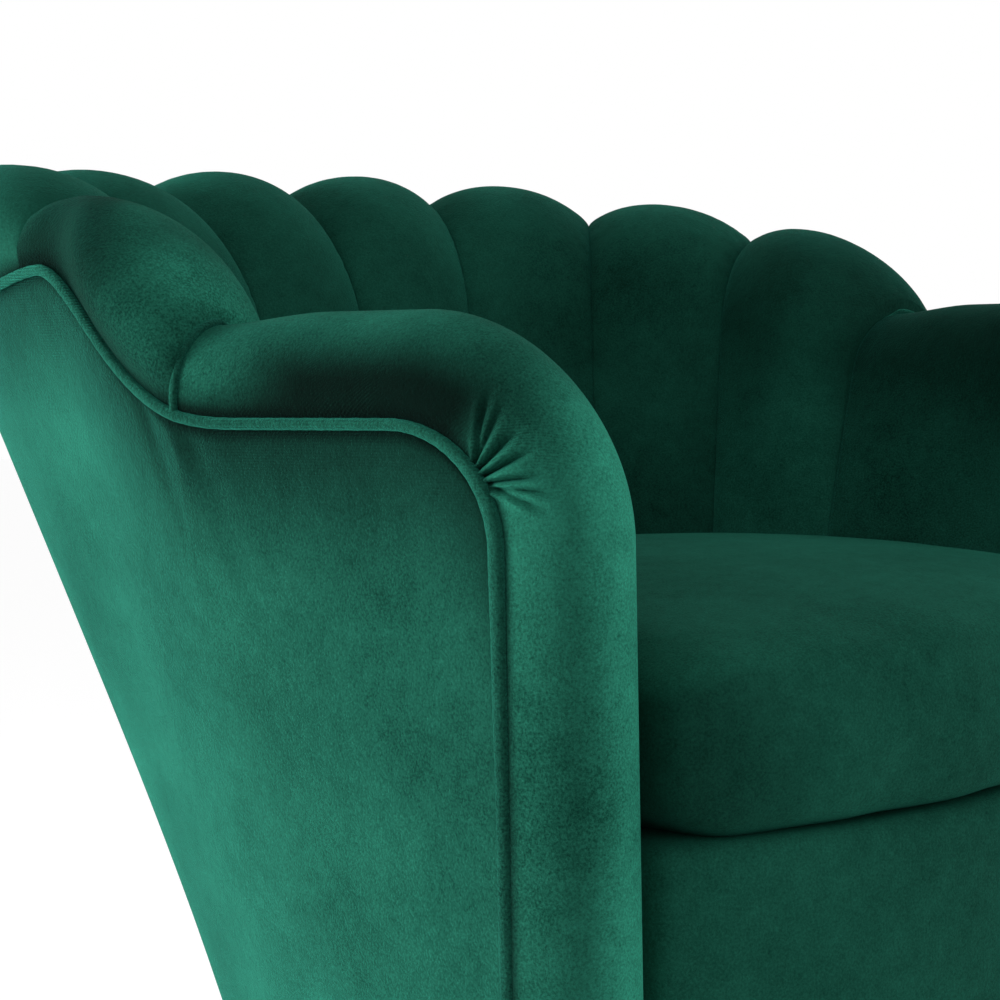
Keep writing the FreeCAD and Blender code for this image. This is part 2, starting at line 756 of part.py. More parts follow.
def arm_post_outside():
    """How far the outer face of an arm post lies in from the welt."""
    return arm_station(arm_length, 1).shell(size.rail_base_height) + size.arm_post_inset


def add_rails():
    """Five mitred rails round the sides and back, and the front rail that closes them."""
    inner = rail_inner_corners()
    names = ("side_rail_right", "corner_rail_right", "back_rail", "corner_rail_left", "side_rail_left")
    for step, name in enumerate(names):
        points = [rail_corners[step], rail_corners[step + 1], inner[step + 1], inner[step]]
        prism_body(name, points, "rail_base_height", "rail_height")
    reach = arm_post_outside() + size.arm_post_thickness + size.seat_gap
    corner = crease_point + arm_inward * reach
    forward = (front_rail_place - corner.y) / arm_forward.y
    half = (corner + arm_forward * forward).x
    start = Vector(-half, front_rail_place, size.rail_base_height)
    front = box("front_rail", 2 * half, "rail_thickness", "rail_height", Placement(start, Rotation()))
    keep(front, "front_rail")


def arc_edges(points):
    """Arcs through points, each over two steps."""
    return [Part.Arc(*points[i : i + 3]).toShape() for i in range(0, len(points) - 2, 2)]


def rounded_opening(base, height):
    """The waste of the opening in the deck board."""
    width = 2 * size.deck_opening_half_width
    depth = size.deck_opening_back - size.deck_opening_front
    waste = Part.makeBox(width, depth, height)
    waste.translate(Vector(-width / 2, size.deck_opening_front, base))
    upright = [edge for edge in waste.Edges if edge.BoundBox.ZLength > height / 2]
    return waste.makeFillet(size.deck_opening_radius, upright)


def add_deck():
    """The deck board on the rails, with straps and a cloth across its opening."""
    inset = size.frame_depth - size.deck_edge_room
    places = [welt_curve.length * (2 * step / DECK_STEPS - 1) for step in range(DECK_STEPS + 1)]
    stations = [back_station(place) for place in places]
    round_edge = [station.place(station.shell(deck_base) + inset, deck_base) for station in stations]
    tips = []
    for name, side in SIDES:
        tip = arm_station(arm_length, side)
        tips.append(tip.place(tip.shell(deck_base) + inset, deck_base))
    edges = arc_edges(round_edge) + polyline([round_edge[-1], tips[1], tips[0], round_edge[0]])
    board = Part.Face(Part.Wire(edges)).extrude(UP * size.deck_thickness)
    span = 2 * size.welt_half_width
    waste = Part.makeBox(span, span, size.deck_thickness)
    waste.translate(Vector(-span / 2, front_rail_back + size.seat_gap - span, deck_base))
    board = board.cut(waste).cut(rounded_opening(deck_base, size.deck_thickness))
    solid_feature("deck_board", board)
    add_webbing()


def strap_row(count, start, end):
    """The places of straps spread evenly between two sides."""
    pitch = (end - start) / count
    return [start + pitch * (step + 1 / 2) for step in range(count)]


def add_webbing():
    """Straps over the opening, left to right below and front to back above, and their cloth."""
    half = size.deck_opening_half_width + size.webbing_lap
    front = size.deck_opening_front - size.webbing_lap
    back = size.deck_opening_back + size.webbing_lap
    straps = []
    for place in strap_row(WEBBING_ACROSS_COUNT, size.deck_opening_front, size.deck_opening_back):
        strap = Part.makeBox(2 * half, size.webbing_width, size.webbing_thickness)
        strap.translate(Vector(-half, place - size.webbing_width / 2, deck_top))
        straps.append(strap)
    solid_feature("webbing_across", Part.makeCompound(straps))
    straps = []
    reach = size.deck_opening_half_width
    for place in strap_row(WEBBING_ALONG_COUNT, -reach, reach):
        strap = Part.makeBox(size.webbing_width, back - front, size.webbing_thickness)
        height = deck_top + size.webbing_thickness
        strap.translate(Vector(place - size.webbing_width / 2, front, height))
        straps.append(strap)
    solid_feature("webbing_along", Part.makeCompound(straps))
    margin = size.deck_cloth_margin
    cloth = doc.addObject("Part::Box", "deck_cloth_sheet")
    cloth.Length = 2 * (reach + margin)
    cloth.Width = size.deck_opening_back - size.deck_opening_front + margin
    cloth.setExpression("Height", "sizes.deck_cloth_thickness")
    height = deck_top + 2 * size.webbing_thickness + size.seat_gap
    start = Vector(-reach - margin, size.deck_opening_front - margin / 2, height)
    cloth.Placement = Placement(start, Rotation())
    keep(cloth, "deck_cloth")


def add_border():
    """The padded border between the arms, bowed to the front, with a round top edge."""
    arm_end = arm_corner_point + arm_inward * size.arm_width + arm_forward * size.arm_front_reach
    half = arm_end.x - size.border_room
    back = front_rail_place - size.seat_gap
    front = back - size.border_depth
    low = size.skirt_height
    high = deck_top + 2 * size.webbing_thickness + size.deck_cloth_thickness + size.seat_gap
    spots = [(-half, back), (-half, front), (half, front), (half, back)]
    left_back, left_front, right_front, right_back = [Vector(x, y, low) for x, y in spots]
    edges = [
        Part.makeLine(left_back, left_front),
        Part.Arc(left_front, Vector(0, front - size.border_bow, low), right_front).toShape(),
        Part.makeLine(right_front, right_back),
        Part.makeLine(right_back, left_back),
    ]
    block = Part.Face(Part.Wire(edges)).extrude(UP * (high - low))
    top_front = []
    for edge in block.Edges:
        extent = edge.BoundBox
        if extent.ZMin > low and extent.YMax < back - size.border_depth / 2:
            top_front.append(edge)
    solid_feature("front_border", block.makeFillet(size.border_edge_radius, top_front))


# Upper frame


def rib_ring(station):
    """The section of a bent rib just below the welt."""
    high = station.welt_z - size.rib_drop
    low = high - size.rib_height
    near, far = size.rib_setback, size.rib_setback + size.rib_thickness
    spots = (
        (station.shell(low) + near, low),
        (station.shell(high) + near, high),
        (station.shell(high) + far, high),
        (station.shell(low) + far, low),
    )
    return [station.place(*spot) for spot in spots]


def add_ribs():
    """The bent top rib in three lengths that butt at the back posts."""
    gap = size.seat_gap / 2
    end = welt_curve.length - gap
    seam = size.cover_seam_place
    spans = (
        ("top_rib_left", -end, -seam - gap),
        ("top_rib_back", -seam + gap, seam - gap),
        ("top_rib_right", seam + gap, end),
    )
    for name, start, stop in spans:
        places = [start + (stop - start) * step / RIB_STEPS for step in range(RIB_STEPS + 1)]
        solid_feature(name, faceted_solid([rib_ring(back_station(place)) for place in places]))


def add_leaning_post(name, distance):
    """A post that leans with the outside cover, from the rails up to the rib."""
    station = back_station(distance)
    low = size.rail_base_height
    high = station.welt_z - size.rib_drop - size.rib_height - size.seat_gap
    near, far = size.post_setback, size.post_setback + size.post_thickness
    spots = (
        (station.shell(low) + near, low),
        (station.shell(high) + near, high),
        (station.shell(high) + far, high),
        (station.shell(low) + far, low),
    )
    corners = [station.place(*spot) for spot in spots]
    face = Part.Face(Part.Wire(polyline(corners + corners[:1])))
    inward = station.place(size.post_width, 0) - station.place(0, 0)
    width = UP.cross(inward)
    face.translate(width / -2)
    solid_feature(name, face.extrude(width))


def add_posts():
    """The posts in the wings and the back."""
    for name, side in SIDES:
        add_leaning_post(f"wing_post_{name}", side * size.wing_post_place)
        add_leaning_post(f"back_post_{name}", side * size.back_post_place)


def add_arm_frames():
    """An upright post and a flat rail inside each arm."""
    rail_low = size.arm_welt_height - size.arm_rail_drop - size.arm_rail_thickness
    for name, side in SIDES:
        start = arm_length - size.arm_post_setback - size.arm_post_width
        inset = arm_post_outside() + (size.arm_post_thickness if side > 0 else 0)
        placement = arm_placement(side, start, inset, size.rail_base_height)
        post = doc.addObject("Part::Box", f"arm_post_{name}_stick")
        post.setExpression("Length", "sizes.arm_post_width")
        post.setExpression("Width", "sizes.arm_post_thickness")
        post.Height = rail_low - size.seat_gap - size.rail_base_height
        post.Placement = placement
        keep(post, f"arm_post_{name}")
        inset = size.arm_rail_inset + (size.arm_rail_width if side > 0 else 0)
        placement = arm_placement(side, size.seat_gap, inset, rail_low)
        length = arm_length - size.arm_rail_setback - size.seat_gap
        rail = box(f"arm_rail_{name}", length, "arm_rail_width", "arm_rail_thickness", placement)
        keep(rail, f"arm_rail_{name}")


# Legs


def leg_spots():
    """The middle of each leg's top and the turn of its block, tucked into the rails' corners."""
    inner = rail_inner_corners()
    half = size.block_width / 2
    front_y = front_rail_back + half
    slope = (inner[1].x - inner[0].x) / (inner[1].y - inner[0].y)
    front_x = inner[0].x + slope * (front_y + half - inner[0].y) - half - size.seat_gap
    along = inner[1] - inner[2]
    turn = math.degrees(math.atan2(along.y, along.x))
    inside = UP.cross(along).normalize() * -1
    back = inner[2] + along * BACK_LEG_SHARE + inside * (half + size.seat_gap)
    spots = []
    for name, side in SIDES:
        spots.append((f"front_{name}", Vector(front_x * side, front_y, 0), 0, Vector(side, -1, 0)))
        spots.append((f"back_{name}", Vector(back.x * side, back.y, 0), turn * side, Vector(side, 1, 0)))
    return spots


def level_ring(centre, radius):
    """Points evenly round a level circle."""
    turns = [2 * math.pi * side / LEG_SIDES for side in range(LEG_SIDES)]
    return [centre + Vector(math.cos(turn), math.sin(turn), 0) * radius for turn in turns]


def add_leg(name, spot, outward):
    """A splayed, tapered leg between two level rounds, bored for its stud."""
    foot = spot + outward * size.leg_splay + UP * size.glide_height
    top = spot + UP * size.rail_base_height
    taper = doc.addObject("Part::Feature", f"leg_{name}_taper")
    taper.Shape = faceted_solid([level_ring(foot, size.leg_foot_radius), level_ring(top, size.leg_top_radius)])
    bore = doc.addObject("Part::Cylinder", f"leg_{name}_bore")
    bore.setExpression("Radius", "sizes.stud_radius + sizes.stud_room")
    bore.setExpression("Height", "sizes.stud_depth_in_leg")
    bore.Placement = Placement(spot + UP * (size.rail_base_height - size.stud_depth_in_leg), Rotation())
    leg = doc.addObject("Part::Cut", f"leg_{name}_whole")
    leg.Base = taper
    leg.Tool = bore
    keep(leg, f"leg_{name}")


def add_leg_block(name, spot, turn):
    """The wooden block in the frame's corner that holds a leg's stud."""
    block = doc.addObject("Part::Box", f"leg_block_{name}_wood")
    block.setExpression("Length", "sizes.block_width")
    block.setExpression("Width", "sizes.block_width")
    block.setExpression("Height", "sizes.block_height")
    half = size.block_width / 2
    corner = Placement(Vector(-half, -half, size.rail_base_height), Rotation())
    block.Placement = Placement(spot, Rotation(UP, turn)).multiply(corner)
    hole = doc.addObject("Part::Cylinder", f"leg_block_{name}_hole")
    hole.setExpression("Radius", "sizes.stud_radius + sizes.stud_room")
    hole.setExpression("Height", "sizes.block_height")
    hole.Placement = Placement(spot + UP * size.rail_base_height, Rotation())
    bored = doc.addObject("Part::Cut", f"leg_block_{name}_bored")
    bored.Base = block
    bored.Tool = hole
    keep(bored, f"leg_block_{name}")


def add_legs():
    """The four legs with their blocks, studs, nuts and glides."""
    low = size.rail_base_height - size.stud_depth_in_leg
    nut_z = size.rail_base_height + size.block_height
    studs = []
    nuts = []
    glides = []
    for name, spot, turn, outward in leg_spots():
        add_leg(name, spot, outward)
        add_leg_block(name, spot, turn)
        studs.append(Part.makeCylinder(size.stud_radius, size.stud_length, spot + UP * low))
        nut = Part.makeCylinder(size.nut_radius, size.nut_height, spot + UP * nut_z)
        nuts.append(nut.cut(Part.makeCylinder(size.stud_radius + size.stud_room, size.nut_height, spot + UP * nut_z)))
        foot = spot + outward * size.leg_splay
        glides.append(Part.makeCylinder(size.glide_radius, size.glide_height, foot))
    solid_feature("leg_studs", Part.makeCompound(studs))
    solid_feature("leg_nuts", Part.makeCompound(nuts))
    solid_feature("leg_glides", Part.makeCompound(glides))


def add_dust_cover():
    """The cloth below the rails, cut out round the legs."""
    thickness = size.dust_cover_thickness
    base = size.rail_base_height - thickness
    outline = rail_corners + [
        Vector(-rail_corners[0].x, front_rail_place, 0),
        Vector(rail_corners[0].x, front_rail_place, 0),
    ]
    points = [point + UP * base for point in outline]
    cloth = Part.Face(Part.Wire(polyline(points + points[:1]))).extrude(UP * thickness)
    radius = size.leg_top_radius + size.seat_gap + thickness
    for name, spot, turn, outward in leg_spots():
        cloth = cloth.cut(Part.makeCylinder(radius, thickness, spot + UP * base))
    solid_feature("dust_cover", cloth)


add_channels()
add_arm_pads()
add_covers()
add_welts()
add_cushion()
add_rails()
add_deck()
add_border()
add_ribs()
add_posts()
add_arm_frames()
add_legs()
add_dust_cover()
doc.recompute()

for node in nodes:
    if "Invalid" in node.State or "Error" in node.State:
        raise RuntimeError(f"{node.Label} is {node.State}")
    if node.Shape.isNull() or not node.Shape.isValid():
        raise RuntimeError(f"{node.Label} has no valid shape")
for node in nodes:
    node.Shape.exportStep(os.path.join("parts", node.Label + ".step"))
    print(node.Label, len(node.Shape.Solids), round(node.Shape.Volume))
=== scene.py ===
"""A velvet tub armchair with a scalloped, channelled back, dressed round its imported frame.

Lengths are metres. The chair faces -Y, its left arm is at -X, and it stands on Z = 0.
"""

import json
import math
from functools import lru_cache
from typing import NamedTuple

import bmesh
import bpy
import numpy as np
from bpy.props import FloatProperty, FloatVectorProperty, PointerProperty
from mathutils import Matrix, Vector


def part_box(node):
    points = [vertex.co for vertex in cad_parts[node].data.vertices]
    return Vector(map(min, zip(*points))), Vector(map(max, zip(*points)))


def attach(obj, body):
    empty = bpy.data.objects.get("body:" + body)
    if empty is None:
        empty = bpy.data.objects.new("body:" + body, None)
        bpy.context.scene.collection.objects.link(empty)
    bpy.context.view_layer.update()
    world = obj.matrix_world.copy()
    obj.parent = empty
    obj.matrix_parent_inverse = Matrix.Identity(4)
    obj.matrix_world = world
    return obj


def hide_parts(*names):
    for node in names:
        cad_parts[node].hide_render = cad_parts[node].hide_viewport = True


bl_info = {
    "name": "Scalloped Armchair",
    "version": (1, 0, 0),
    "blender": (4, 5, 0),
    "location": "3D View > Sidebar > Armchair",
    "description": "Dresses a packed armchair frame in channelled velvet",
    "category": "Object",
}

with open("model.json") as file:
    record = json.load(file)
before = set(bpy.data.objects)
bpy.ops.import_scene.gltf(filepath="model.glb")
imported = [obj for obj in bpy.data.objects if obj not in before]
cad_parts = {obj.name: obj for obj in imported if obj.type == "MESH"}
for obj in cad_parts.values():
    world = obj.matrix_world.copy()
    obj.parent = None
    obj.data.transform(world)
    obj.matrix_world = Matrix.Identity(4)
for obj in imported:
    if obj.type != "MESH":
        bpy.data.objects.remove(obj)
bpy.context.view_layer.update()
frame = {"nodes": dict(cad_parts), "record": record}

# Plan of the upholstery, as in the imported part
WELT_HALF_WIDTH = 0.436
WELT_SHOULDER_PLACE = -0.025
WELT_BACK_PLACE = 0.413
CREASE_POINT = np.array([0.435, -0.078])
ARM_CORNER_POINT = np.array([0.390, -0.295])
SKIRT_HALF_WIDTH = 0.386
SKIRT_BACK_PLACE = 0.186
SKIRT_HEIGHT = 0.180
INSIDE_BACK_PLACE = 0.223
CREASE_DEPTH = 0.137
WELT_POWER = 2.358
SKIRT_POWER = 2.4
INSIDE_POWER = 2.6
CURVE_STEPS = 600

# Heights along the welt and the scallops
ARM_WELT_HEIGHT = 0.5875
BACK_WELT_HEIGHT = 0.6835
WELT_RISE_BEFORE = 0.055
WELT_RISE_AFTER = 0.132
WELT_RISE_POWER = 1.62
WELT_BACK_DROP = 0.014
WELT_DROP_START = 0.128
WELT_DROP_LENGTH = 0.100
WELT_CORNER_RADIUS = 0.070
# The notches and scallops from the left wing to the right one: a hand-filled back isn't even
NOTCH_HEIGHTS = (0.656, 0.722, 0.731, 0.745, 0.742, 0.747, 0.752, 0.736, 0.713, 0.660)
NOTCH_INSETS = (0.044, 0.022, 0.034, 0.035, 0.035, 0.035, 0.035, 0.034, 0.022, 0.044)
SCALLOP_SHARES = (1, 1, 1, 1, 1.14, 1, 0.90, 0.86, 1)
SEAM_SHIFT = 0.012
SEAT_LINE_HEIGHT = 0.458
SHOULDER_SETBACK = 0.026
SHOULDER_DROP = 0.045
SHOULDER_DROP_SHARE = 0.45
TOE_DRAW = 0.008
FRAME_DEPTH = 0.025
FOOT_HEIGHT = 0.3303

# Arms
ARM_WIDTH = 0.094
ARM_ROLL_RISE = 0.065
ARM_FRONT_REACH = 0.057
ARM_CREST_WING = 0.652
ARM_END_DIP = 0.006
ARM_END_LENGTH = 0.085
ARM_CLOTH = 0.002
ROLL_ROOM = 0.0016
TUCK_INSET = 0.003
TUCK_DEPTH = 0.0030
SEAM_GAP = 0.0003
TURN_CENTRE_HEIGHT = ARM_WELT_HEIGHT - WELT_CORNER_RADIUS
SIDES = (("left", -1), ("right", 1))

# Channels and covers
CHANNEL_COUNT = 9
COVER_SEAM = 0.334
COVER_TUCK_SHARE = 0.55

# Lengths too short to see, and below which a mesh's points are welded
HAIR = 1e-6
WELD_DISTANCE = 0.00002


class ChairForm(bpy.types.PropertyGroup):
    """Sizes of the upholstery that a user would change."""

    crown: FloatProperty(
        name="Channel crown", description="How far a channel stands out from its seams",
        default=0.0150, unit="LENGTH",
    )
    scallop: FloatProperty(
        name="Scallop rise", description="Height of a scallop over its notches",
        default=0.0330, unit="LENGTH",
    )
    welt_radius: FloatProperty(
        name="Welt radius", description="Half the thickness of the covered cord",
        default=0.0036, unit="LENGTH",
    )
    crease_welt_radius: FloatProperty(
        name="Crease welt radius",
        description="Half the thickness of the cord between arm and wing",
        default=0.0028, unit="LENGTH",
    )
    pleat_depth: FloatProperty(
        name="Pleat depth", description="Depth of the gathered pleats at the arm's front",
        default=0.0056, unit="LENGTH",
    )
    pucker: FloatProperty(
        name="Seam pucker", description="Height of the small ripples beside the seams",
        default=0.0005, unit="LENGTH",
    )
    cover_fullness: FloatProperty(
        name="Cover fullness",
        description="How far the outside covers stand out at half their height",
        default=0.0045, unit="LENGTH",
    )
    cushion_swell: FloatProperty(
        name="Cushion swell", description="The most that the filling swells the cushion",
        default=0.0060, unit="LENGTH",
    )


class ChairFinish(bpy.types.PropertyGroup):
    """Colours and finishes of the chair."""

    velvet: FloatVectorProperty(
        name="Velvet", description="Colour of the brushed pile", subtype="COLOR",
        size=4, min=0, max=1, default=(0.0105, 0.090, 0.060, 1),
    )
    velvet_deep: FloatVectorProperty(
        name="Deep pile", description="Colour where the pile stands towards the eye",
        subtype="COLOR", size=4, min=0, max=1, default=(0.0020, 0.022, 0.014, 1),
    )
    velvet_sheen: FloatVectorProperty(
        name="Velvet sheen", description="Colour of the light along the pile's tips",
        subtype="COLOR", size=4, min=0, max=1, default=(0.06, 0.52, 0.385, 1),
    )
    brass: FloatVectorProperty(
        name="Brass", description="Colour of the metal legs", subtype="COLOR",
        size=4, min=0, max=1, default=(0.66, 0.46, 0.20, 1),
    )
    wood: FloatVectorProperty(
        name="Frame wood", description="Colour of the sawn frame", subtype="COLOR",
        size=4, min=0, max=1, default=(0.50, 0.33, 0.17, 1),
    )


class ChairStage(bpy.types.PropertyGroup):
    """Lamps and camera."""

    key_power: FloatProperty(
        name="Key lamp", description="Power of the large lamp", default=20.0, unit="POWER"
    )
    fill_power: FloatProperty(
        name="Fill lamp", description="Power of the lamp over the seat",
        default=18.0, unit="POWER",
    )
    side_power: FloatProperty(
        name="Side lamp", description="Power of the lamp behind the left side",
        default=72.0, unit="POWER",
    )
    world_strength: FloatProperty(
        name="Room light", description="Strength of the light all round", default=0.34
    )
    floor_glow: FloatProperty(
        name="Floor glow", description="How bright the camera sees the floor", default=1.35
    )
    lens: FloatProperty(
        name="Lens", description="Focal length on a 36 mm frame", default=82.26, unit="CAMERA"
    )


# Plan curves


def level_start(share):
    """An even rise from 0 to 1 that starts and ends level."""
    share = np.clip(share, 0, 1)
    return share * share * (3 - 2 * share)


def graded(value, start, length, low, high=1.0):
    """A share that goes from low to high over a length from a start."""
    return low + (high - low) * level_start((value - start) / length)


def run_lengths(points):
    """How far along its line each point lies, also for a grid with a line in each row."""
    steps = np.linalg.norm(np.diff(points, axis=-2), axis=-1)
    starts = np.zeros((*steps.shape[:-1], 1))
    return np.concatenate([starts, np.cumsum(steps, axis=-1)], axis=-1)


class PlanCurve:
    """Half of a plan outline, from the middle of the back round to the right front."""

    def __init__(self, points):
        self.points = np.array(points)
        self.lengths = run_lengths(self.points)
        self.length = self.lengths[-1]

    def at(self, distance):
        """The point of the right half at a length from the middle."""
        return np.array([np.interp(distance, self.lengths, axis) for axis in self.points.T])

    def crossing(self, origin, direction):
        """How far along a direction from an origin the curve is met."""
        across = np.array([direction[1], -direction[0]])
        off = (self.points - origin) @ across
        step = np.nonzero(off[:-1] * off[1:] <= 0)[0][0]
        share = off[step] / (off[step] - off[step + 1])
        meeting = self.points[step] + (self.points[step + 1] - self.points[step]) * share
        return float((meeting - origin) @ direction)


def round_back(half_width, side_place, back_place, power):
    """A quarter of a superellipse from the middle of the back to the side."""
    angle = np.linspace(0, math.pi / 2, CURVE_STEPS + 1)
    across = half_width * np.sin(angle) ** (2 / power)
    along = (back_place - side_place) * np.maximum(np.cos(angle), 0) ** (2 / power)
    return np.stack([across, side_place + along], axis=1)


ARM_LENGTH = float(np.linalg.norm(ARM_CORNER_POINT - CREASE_POINT))
ARM_FORWARD = (ARM_CORNER_POINT - CREASE_POINT) / ARM_LENGTH
ARM_INWARD = np.array([ARM_FORWARD[1], -ARM_FORWARD[0]])
TURN_START = ARM_LENGTH - WELT_CORNER_RADIUS
CREASE_INSIDE = CREASE_POINT + ARM_INWARD * CREASE_DEPTH
WELT_BACK = round_back(WELT_HALF_WIDTH, WELT_SHOULDER_PLACE, WELT_BACK_PLACE, WELT_POWER)
WELT_CURVE = PlanCurve(np.vstack([WELT_BACK, [CREASE_POINT]]))
INSIDE_CURVE = PlanCurve(round_back(*CREASE_INSIDE, INSIDE_BACK_PLACE, INSIDE_POWER))
SKIRT_FRONT = (SKIRT_HALF_WIDTH, ARM_CORNER_POINT[1] - ARM_ROLL_RISE)
SKIRT_BACK = round_back(SKIRT_HALF_WIDTH, ARM_CORNER_POINT[1], SKIRT_BACK_PLACE, SKIRT_POWER)
SKIRT_CURVE = PlanCurve(np.vstack([SKIRT_BACK, [SKIRT_FRONT]]))
CHANNEL_PITCH = 2 * WELT_CURVE.length / CHANNEL_COUNT
SEAM_PLACES = np.linspace(-WELT_CURVE.length, WELT_CURVE.length, CHANNEL_COUNT + 1)
SEAM_PLACES[1:-1] -= SEAM_SHIFT


def welt_height(behind_crease):
    """Z of the welt by its length behind the crease."""
    share = (behind_crease + WELT_RISE_BEFORE) / (WELT_RISE_BEFORE + WELT_RISE_AFTER)
    rise = level_start(max(share, 0) ** WELT_RISE_POWER)
    drop = WELT_BACK_DROP * level_start((behind_crease - WELT_DROP_START) / WELT_DROP_LENGTH)
    return ARM_WELT_HEIGHT + (BACK_WELT_HEIGHT - ARM_WELT_HEIGHT) * rise - drop


def notch(distance):
    """How far in and how high the notches lie, by welt length from the middle of the back."""
    seams = range(CHANNEL_COUNT + 1)
    place = np.interp(distance, SEAM_PLACES, seams)
    return tuple(float(np.interp(place, seams, row)) for row in (NOTCH_INSETS, NOTCH_HEIGHTS))


class Station:
    """An upright plane across the side of the chair, from the welt towards the seat."""

    def __init__(self, point, inward, inside, welt_z, side):
        self.point, self.inward, self.inside = point, inward, inside
        self.welt_z, self.side = float(welt_z), side
        self.skirt = SKIRT_CURVE.crossing(point, inward)

    def shell(self, height):
        """How far the outside face lies in from the welt at a height."""
        return self.skirt * (self.welt_z - height) / (self.welt_z - SKIRT_HEIGHT)

    def place(self, inset, height):
        """Points at insets from the welt and heights."""
        inset, height = np.broadcast_arrays(np.asarray(inset, float), np.asarray(height, float))
        x = (self.point[0] + self.inward[0] * inset) * self.side
        y = self.point[1] + self.inward[1] * inset
        return np.stack([x, y, height], axis=-1)


@lru_cache(maxsize=None)
def back_station(distance):
    """The plane at a welt length from the middle of the back."""
    side = -1 if distance < 0 else 1
    point = WELT_CURVE.at(abs(distance))
    across = INSIDE_CURVE.at(abs(distance) / WELT_CURVE.length * INSIDE_CURVE.length) - point
    depth = float(np.linalg.norm(across))
    welt_z = welt_height(WELT_CURVE.length - abs(distance))
    return Station(point, across / depth, depth, welt_z, side)


@lru_cache(maxsize=None)
def arm_station(forward, side):
    """The plane across an arm at a length in front of the crease."""
    inside = float(graded(forward, 0, TURN_START, CREASE_DEPTH, ARM_WIDTH))
    point = CREASE_POINT + ARM_FORWARD * forward
    return Station(point, ARM_INWARD, inside, welt_height(-forward), side)


# Meshes


def paint_light_and_shade(mesh, shares=1.0):
    """Keeps with a mesh how much the pile sends back at each point: painted light and shade, which
    the velvet multiplies into its colour.
    """
    values = np.full(len(mesh.vertices), shares, np.float32)
    kept = mesh.attributes.new("brushed", "FLOAT", "POINT")
    kept.data.foreach_set("value", values)


def new_piece(name, points, faces, smooth_faces=True, shares=1.0):
    """A mesh object from points and faces, at the origin."""
    mesh = bpy.data.meshes.new(name)
    mesh.from_pydata([tuple(point) for point in points], [], [tuple(face) for face in faces])
    paint_light_and_shade(mesh, shares)
    mesh.validate()
    piece = bpy.data.objects.new(name, mesh)
    bpy.context.scene.collection.objects.link(piece)
    outward_faces(piece)
    if smooth_faces:
        mesh.shade_smooth()
    return piece


def outward_faces(piece):
    """Welds a mesh's doubled points and turns its faces outwards."""
    work = bmesh.new()
    work.from_mesh(piece.data)
    bmesh.ops.remove_doubles(work, verts=work.verts, dist=WELD_DISTANCE)
    bmesh.ops.recalc_face_normals(work, faces=work.faces)
    work.to_mesh(piece.data)
    work.free()


def grid_faces(rings, columns, closed=True):
    """Faces of rings with the same number of columns each, as a closed body or an open skin."""
    faces = []
    for row in range(rings - 1):
        low, high = row * columns, (row + 1) * columns
        for column in range(columns if closed else columns - 1):
            after = (column + 1) % columns
            faces.append((low + column, low + after, high + after, high + column))
    if closed:
        faces.append(tuple(reversed(range(columns))))
        faces.append(tuple(range((rings - 1) * columns, rings * columns)))
    return faces


def grid_piece(name, grid, shares=1.0):
    """A closed piece from an array of rings of points, with its painted light and shade at each."""
    rings, columns = grid.shape[:2]
    shares = np.broadcast_to(shares, (rings, columns)).ravel()
    return new_piece(name, grid.reshape(-1, 3), grid_faces(rings, columns), shares=shares)


def resampled(points, count):
    """The same line with its points spread evenly."""
    lengths = run_lengths(points)
    places = np.linspace(0, lengths[-1], count)
    return np.stack([np.interp(places, lengths, axis) for axis in points.T], axis=1)


def eased(points, rounds):
    """A line with its corners worn down, its ends kept."""
    points = points.copy()
    for _ in range(rounds):
        points[1:-1] = (points[:-2] + 2 * points[1:-1] + points[2:]) / 4
    return points


def level_arc(side_spot, top, count):
    """An arc that leaves a side point and is level at a top point, in section."""
    across, rise = top[0] - side_spot[0], top[1] - side_spot[1]
    radius = (across * across + rise * rise) / (2 * rise)
    turns = np.linspace(math.atan2(abs(across), radius - rise), 0, count)
    inset = top[0] - math.copysign(radius, across) * np.sin(turns)
    return np.stack([inset, top[1] - radius + radius * np.cos(turns)], axis=1)


def finish(piece, body, nodes, material):
    """Gives a piece its body and material, and hides the nodes it replaces."""
    piece.data.materials.clear()
    piece.data.materials.append(material)
    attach(piece, body)
    if nodes:
        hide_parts(*nodes)
    return piece


def tube(name, path, radius, sides):
    """A round cord along points, its rings square to the path."""
    along = np.gradient(path, axis=0)
    along /= np.linalg.norm(along, axis=1)[:, None]
    across = np.cross(along[0], [0.0, 0.0, 1.0])
    across /= np.linalg.norm(across)
    turns = np.linspace(0, 2 * math.pi, sides, endpoint=False)
    radii = np.broadcast_to(radius, len(path))
    rings = []
    for point, direction, size in zip(path, along, radii):
        across = across - direction * (across @ direction)
        across /= np.linalg.norm(across)
        second = np.cross(direction, across)
        ring = np.cos(turns)[:, None] * across + np.sin(turns)[:, None] * second
        rings.append(point + size * ring)
    return grid_piece(name, np.array(rings))


# Shader maths


class Flow:
    """A shader socket that takes Python's operators as Math nodes."""

    def __init__(self, shader, socket):
        self.shader, self.socket = shader, socket

    def _math(self, operation, first, second):
        return self.shader.node("ShaderNodeMath", {"operation": operation}, {0: first, 1: second})

    def __add__(self, other):
        return self._math("ADD", self, other)

    __radd__ = __add__

    def __sub__(self, other):
        return self._math("SUBTRACT", self, other)

    def __rsub__(self, other):
        return self._math("SUBTRACT", other, self)

    def __mul__(self, other):
        return self._math("MULTIPLY", self, other)

    __rmul__ = __mul__

    def at_least(self, other):
        """The greater of two values."""
        return self._math("MAXIMUM", self, other)


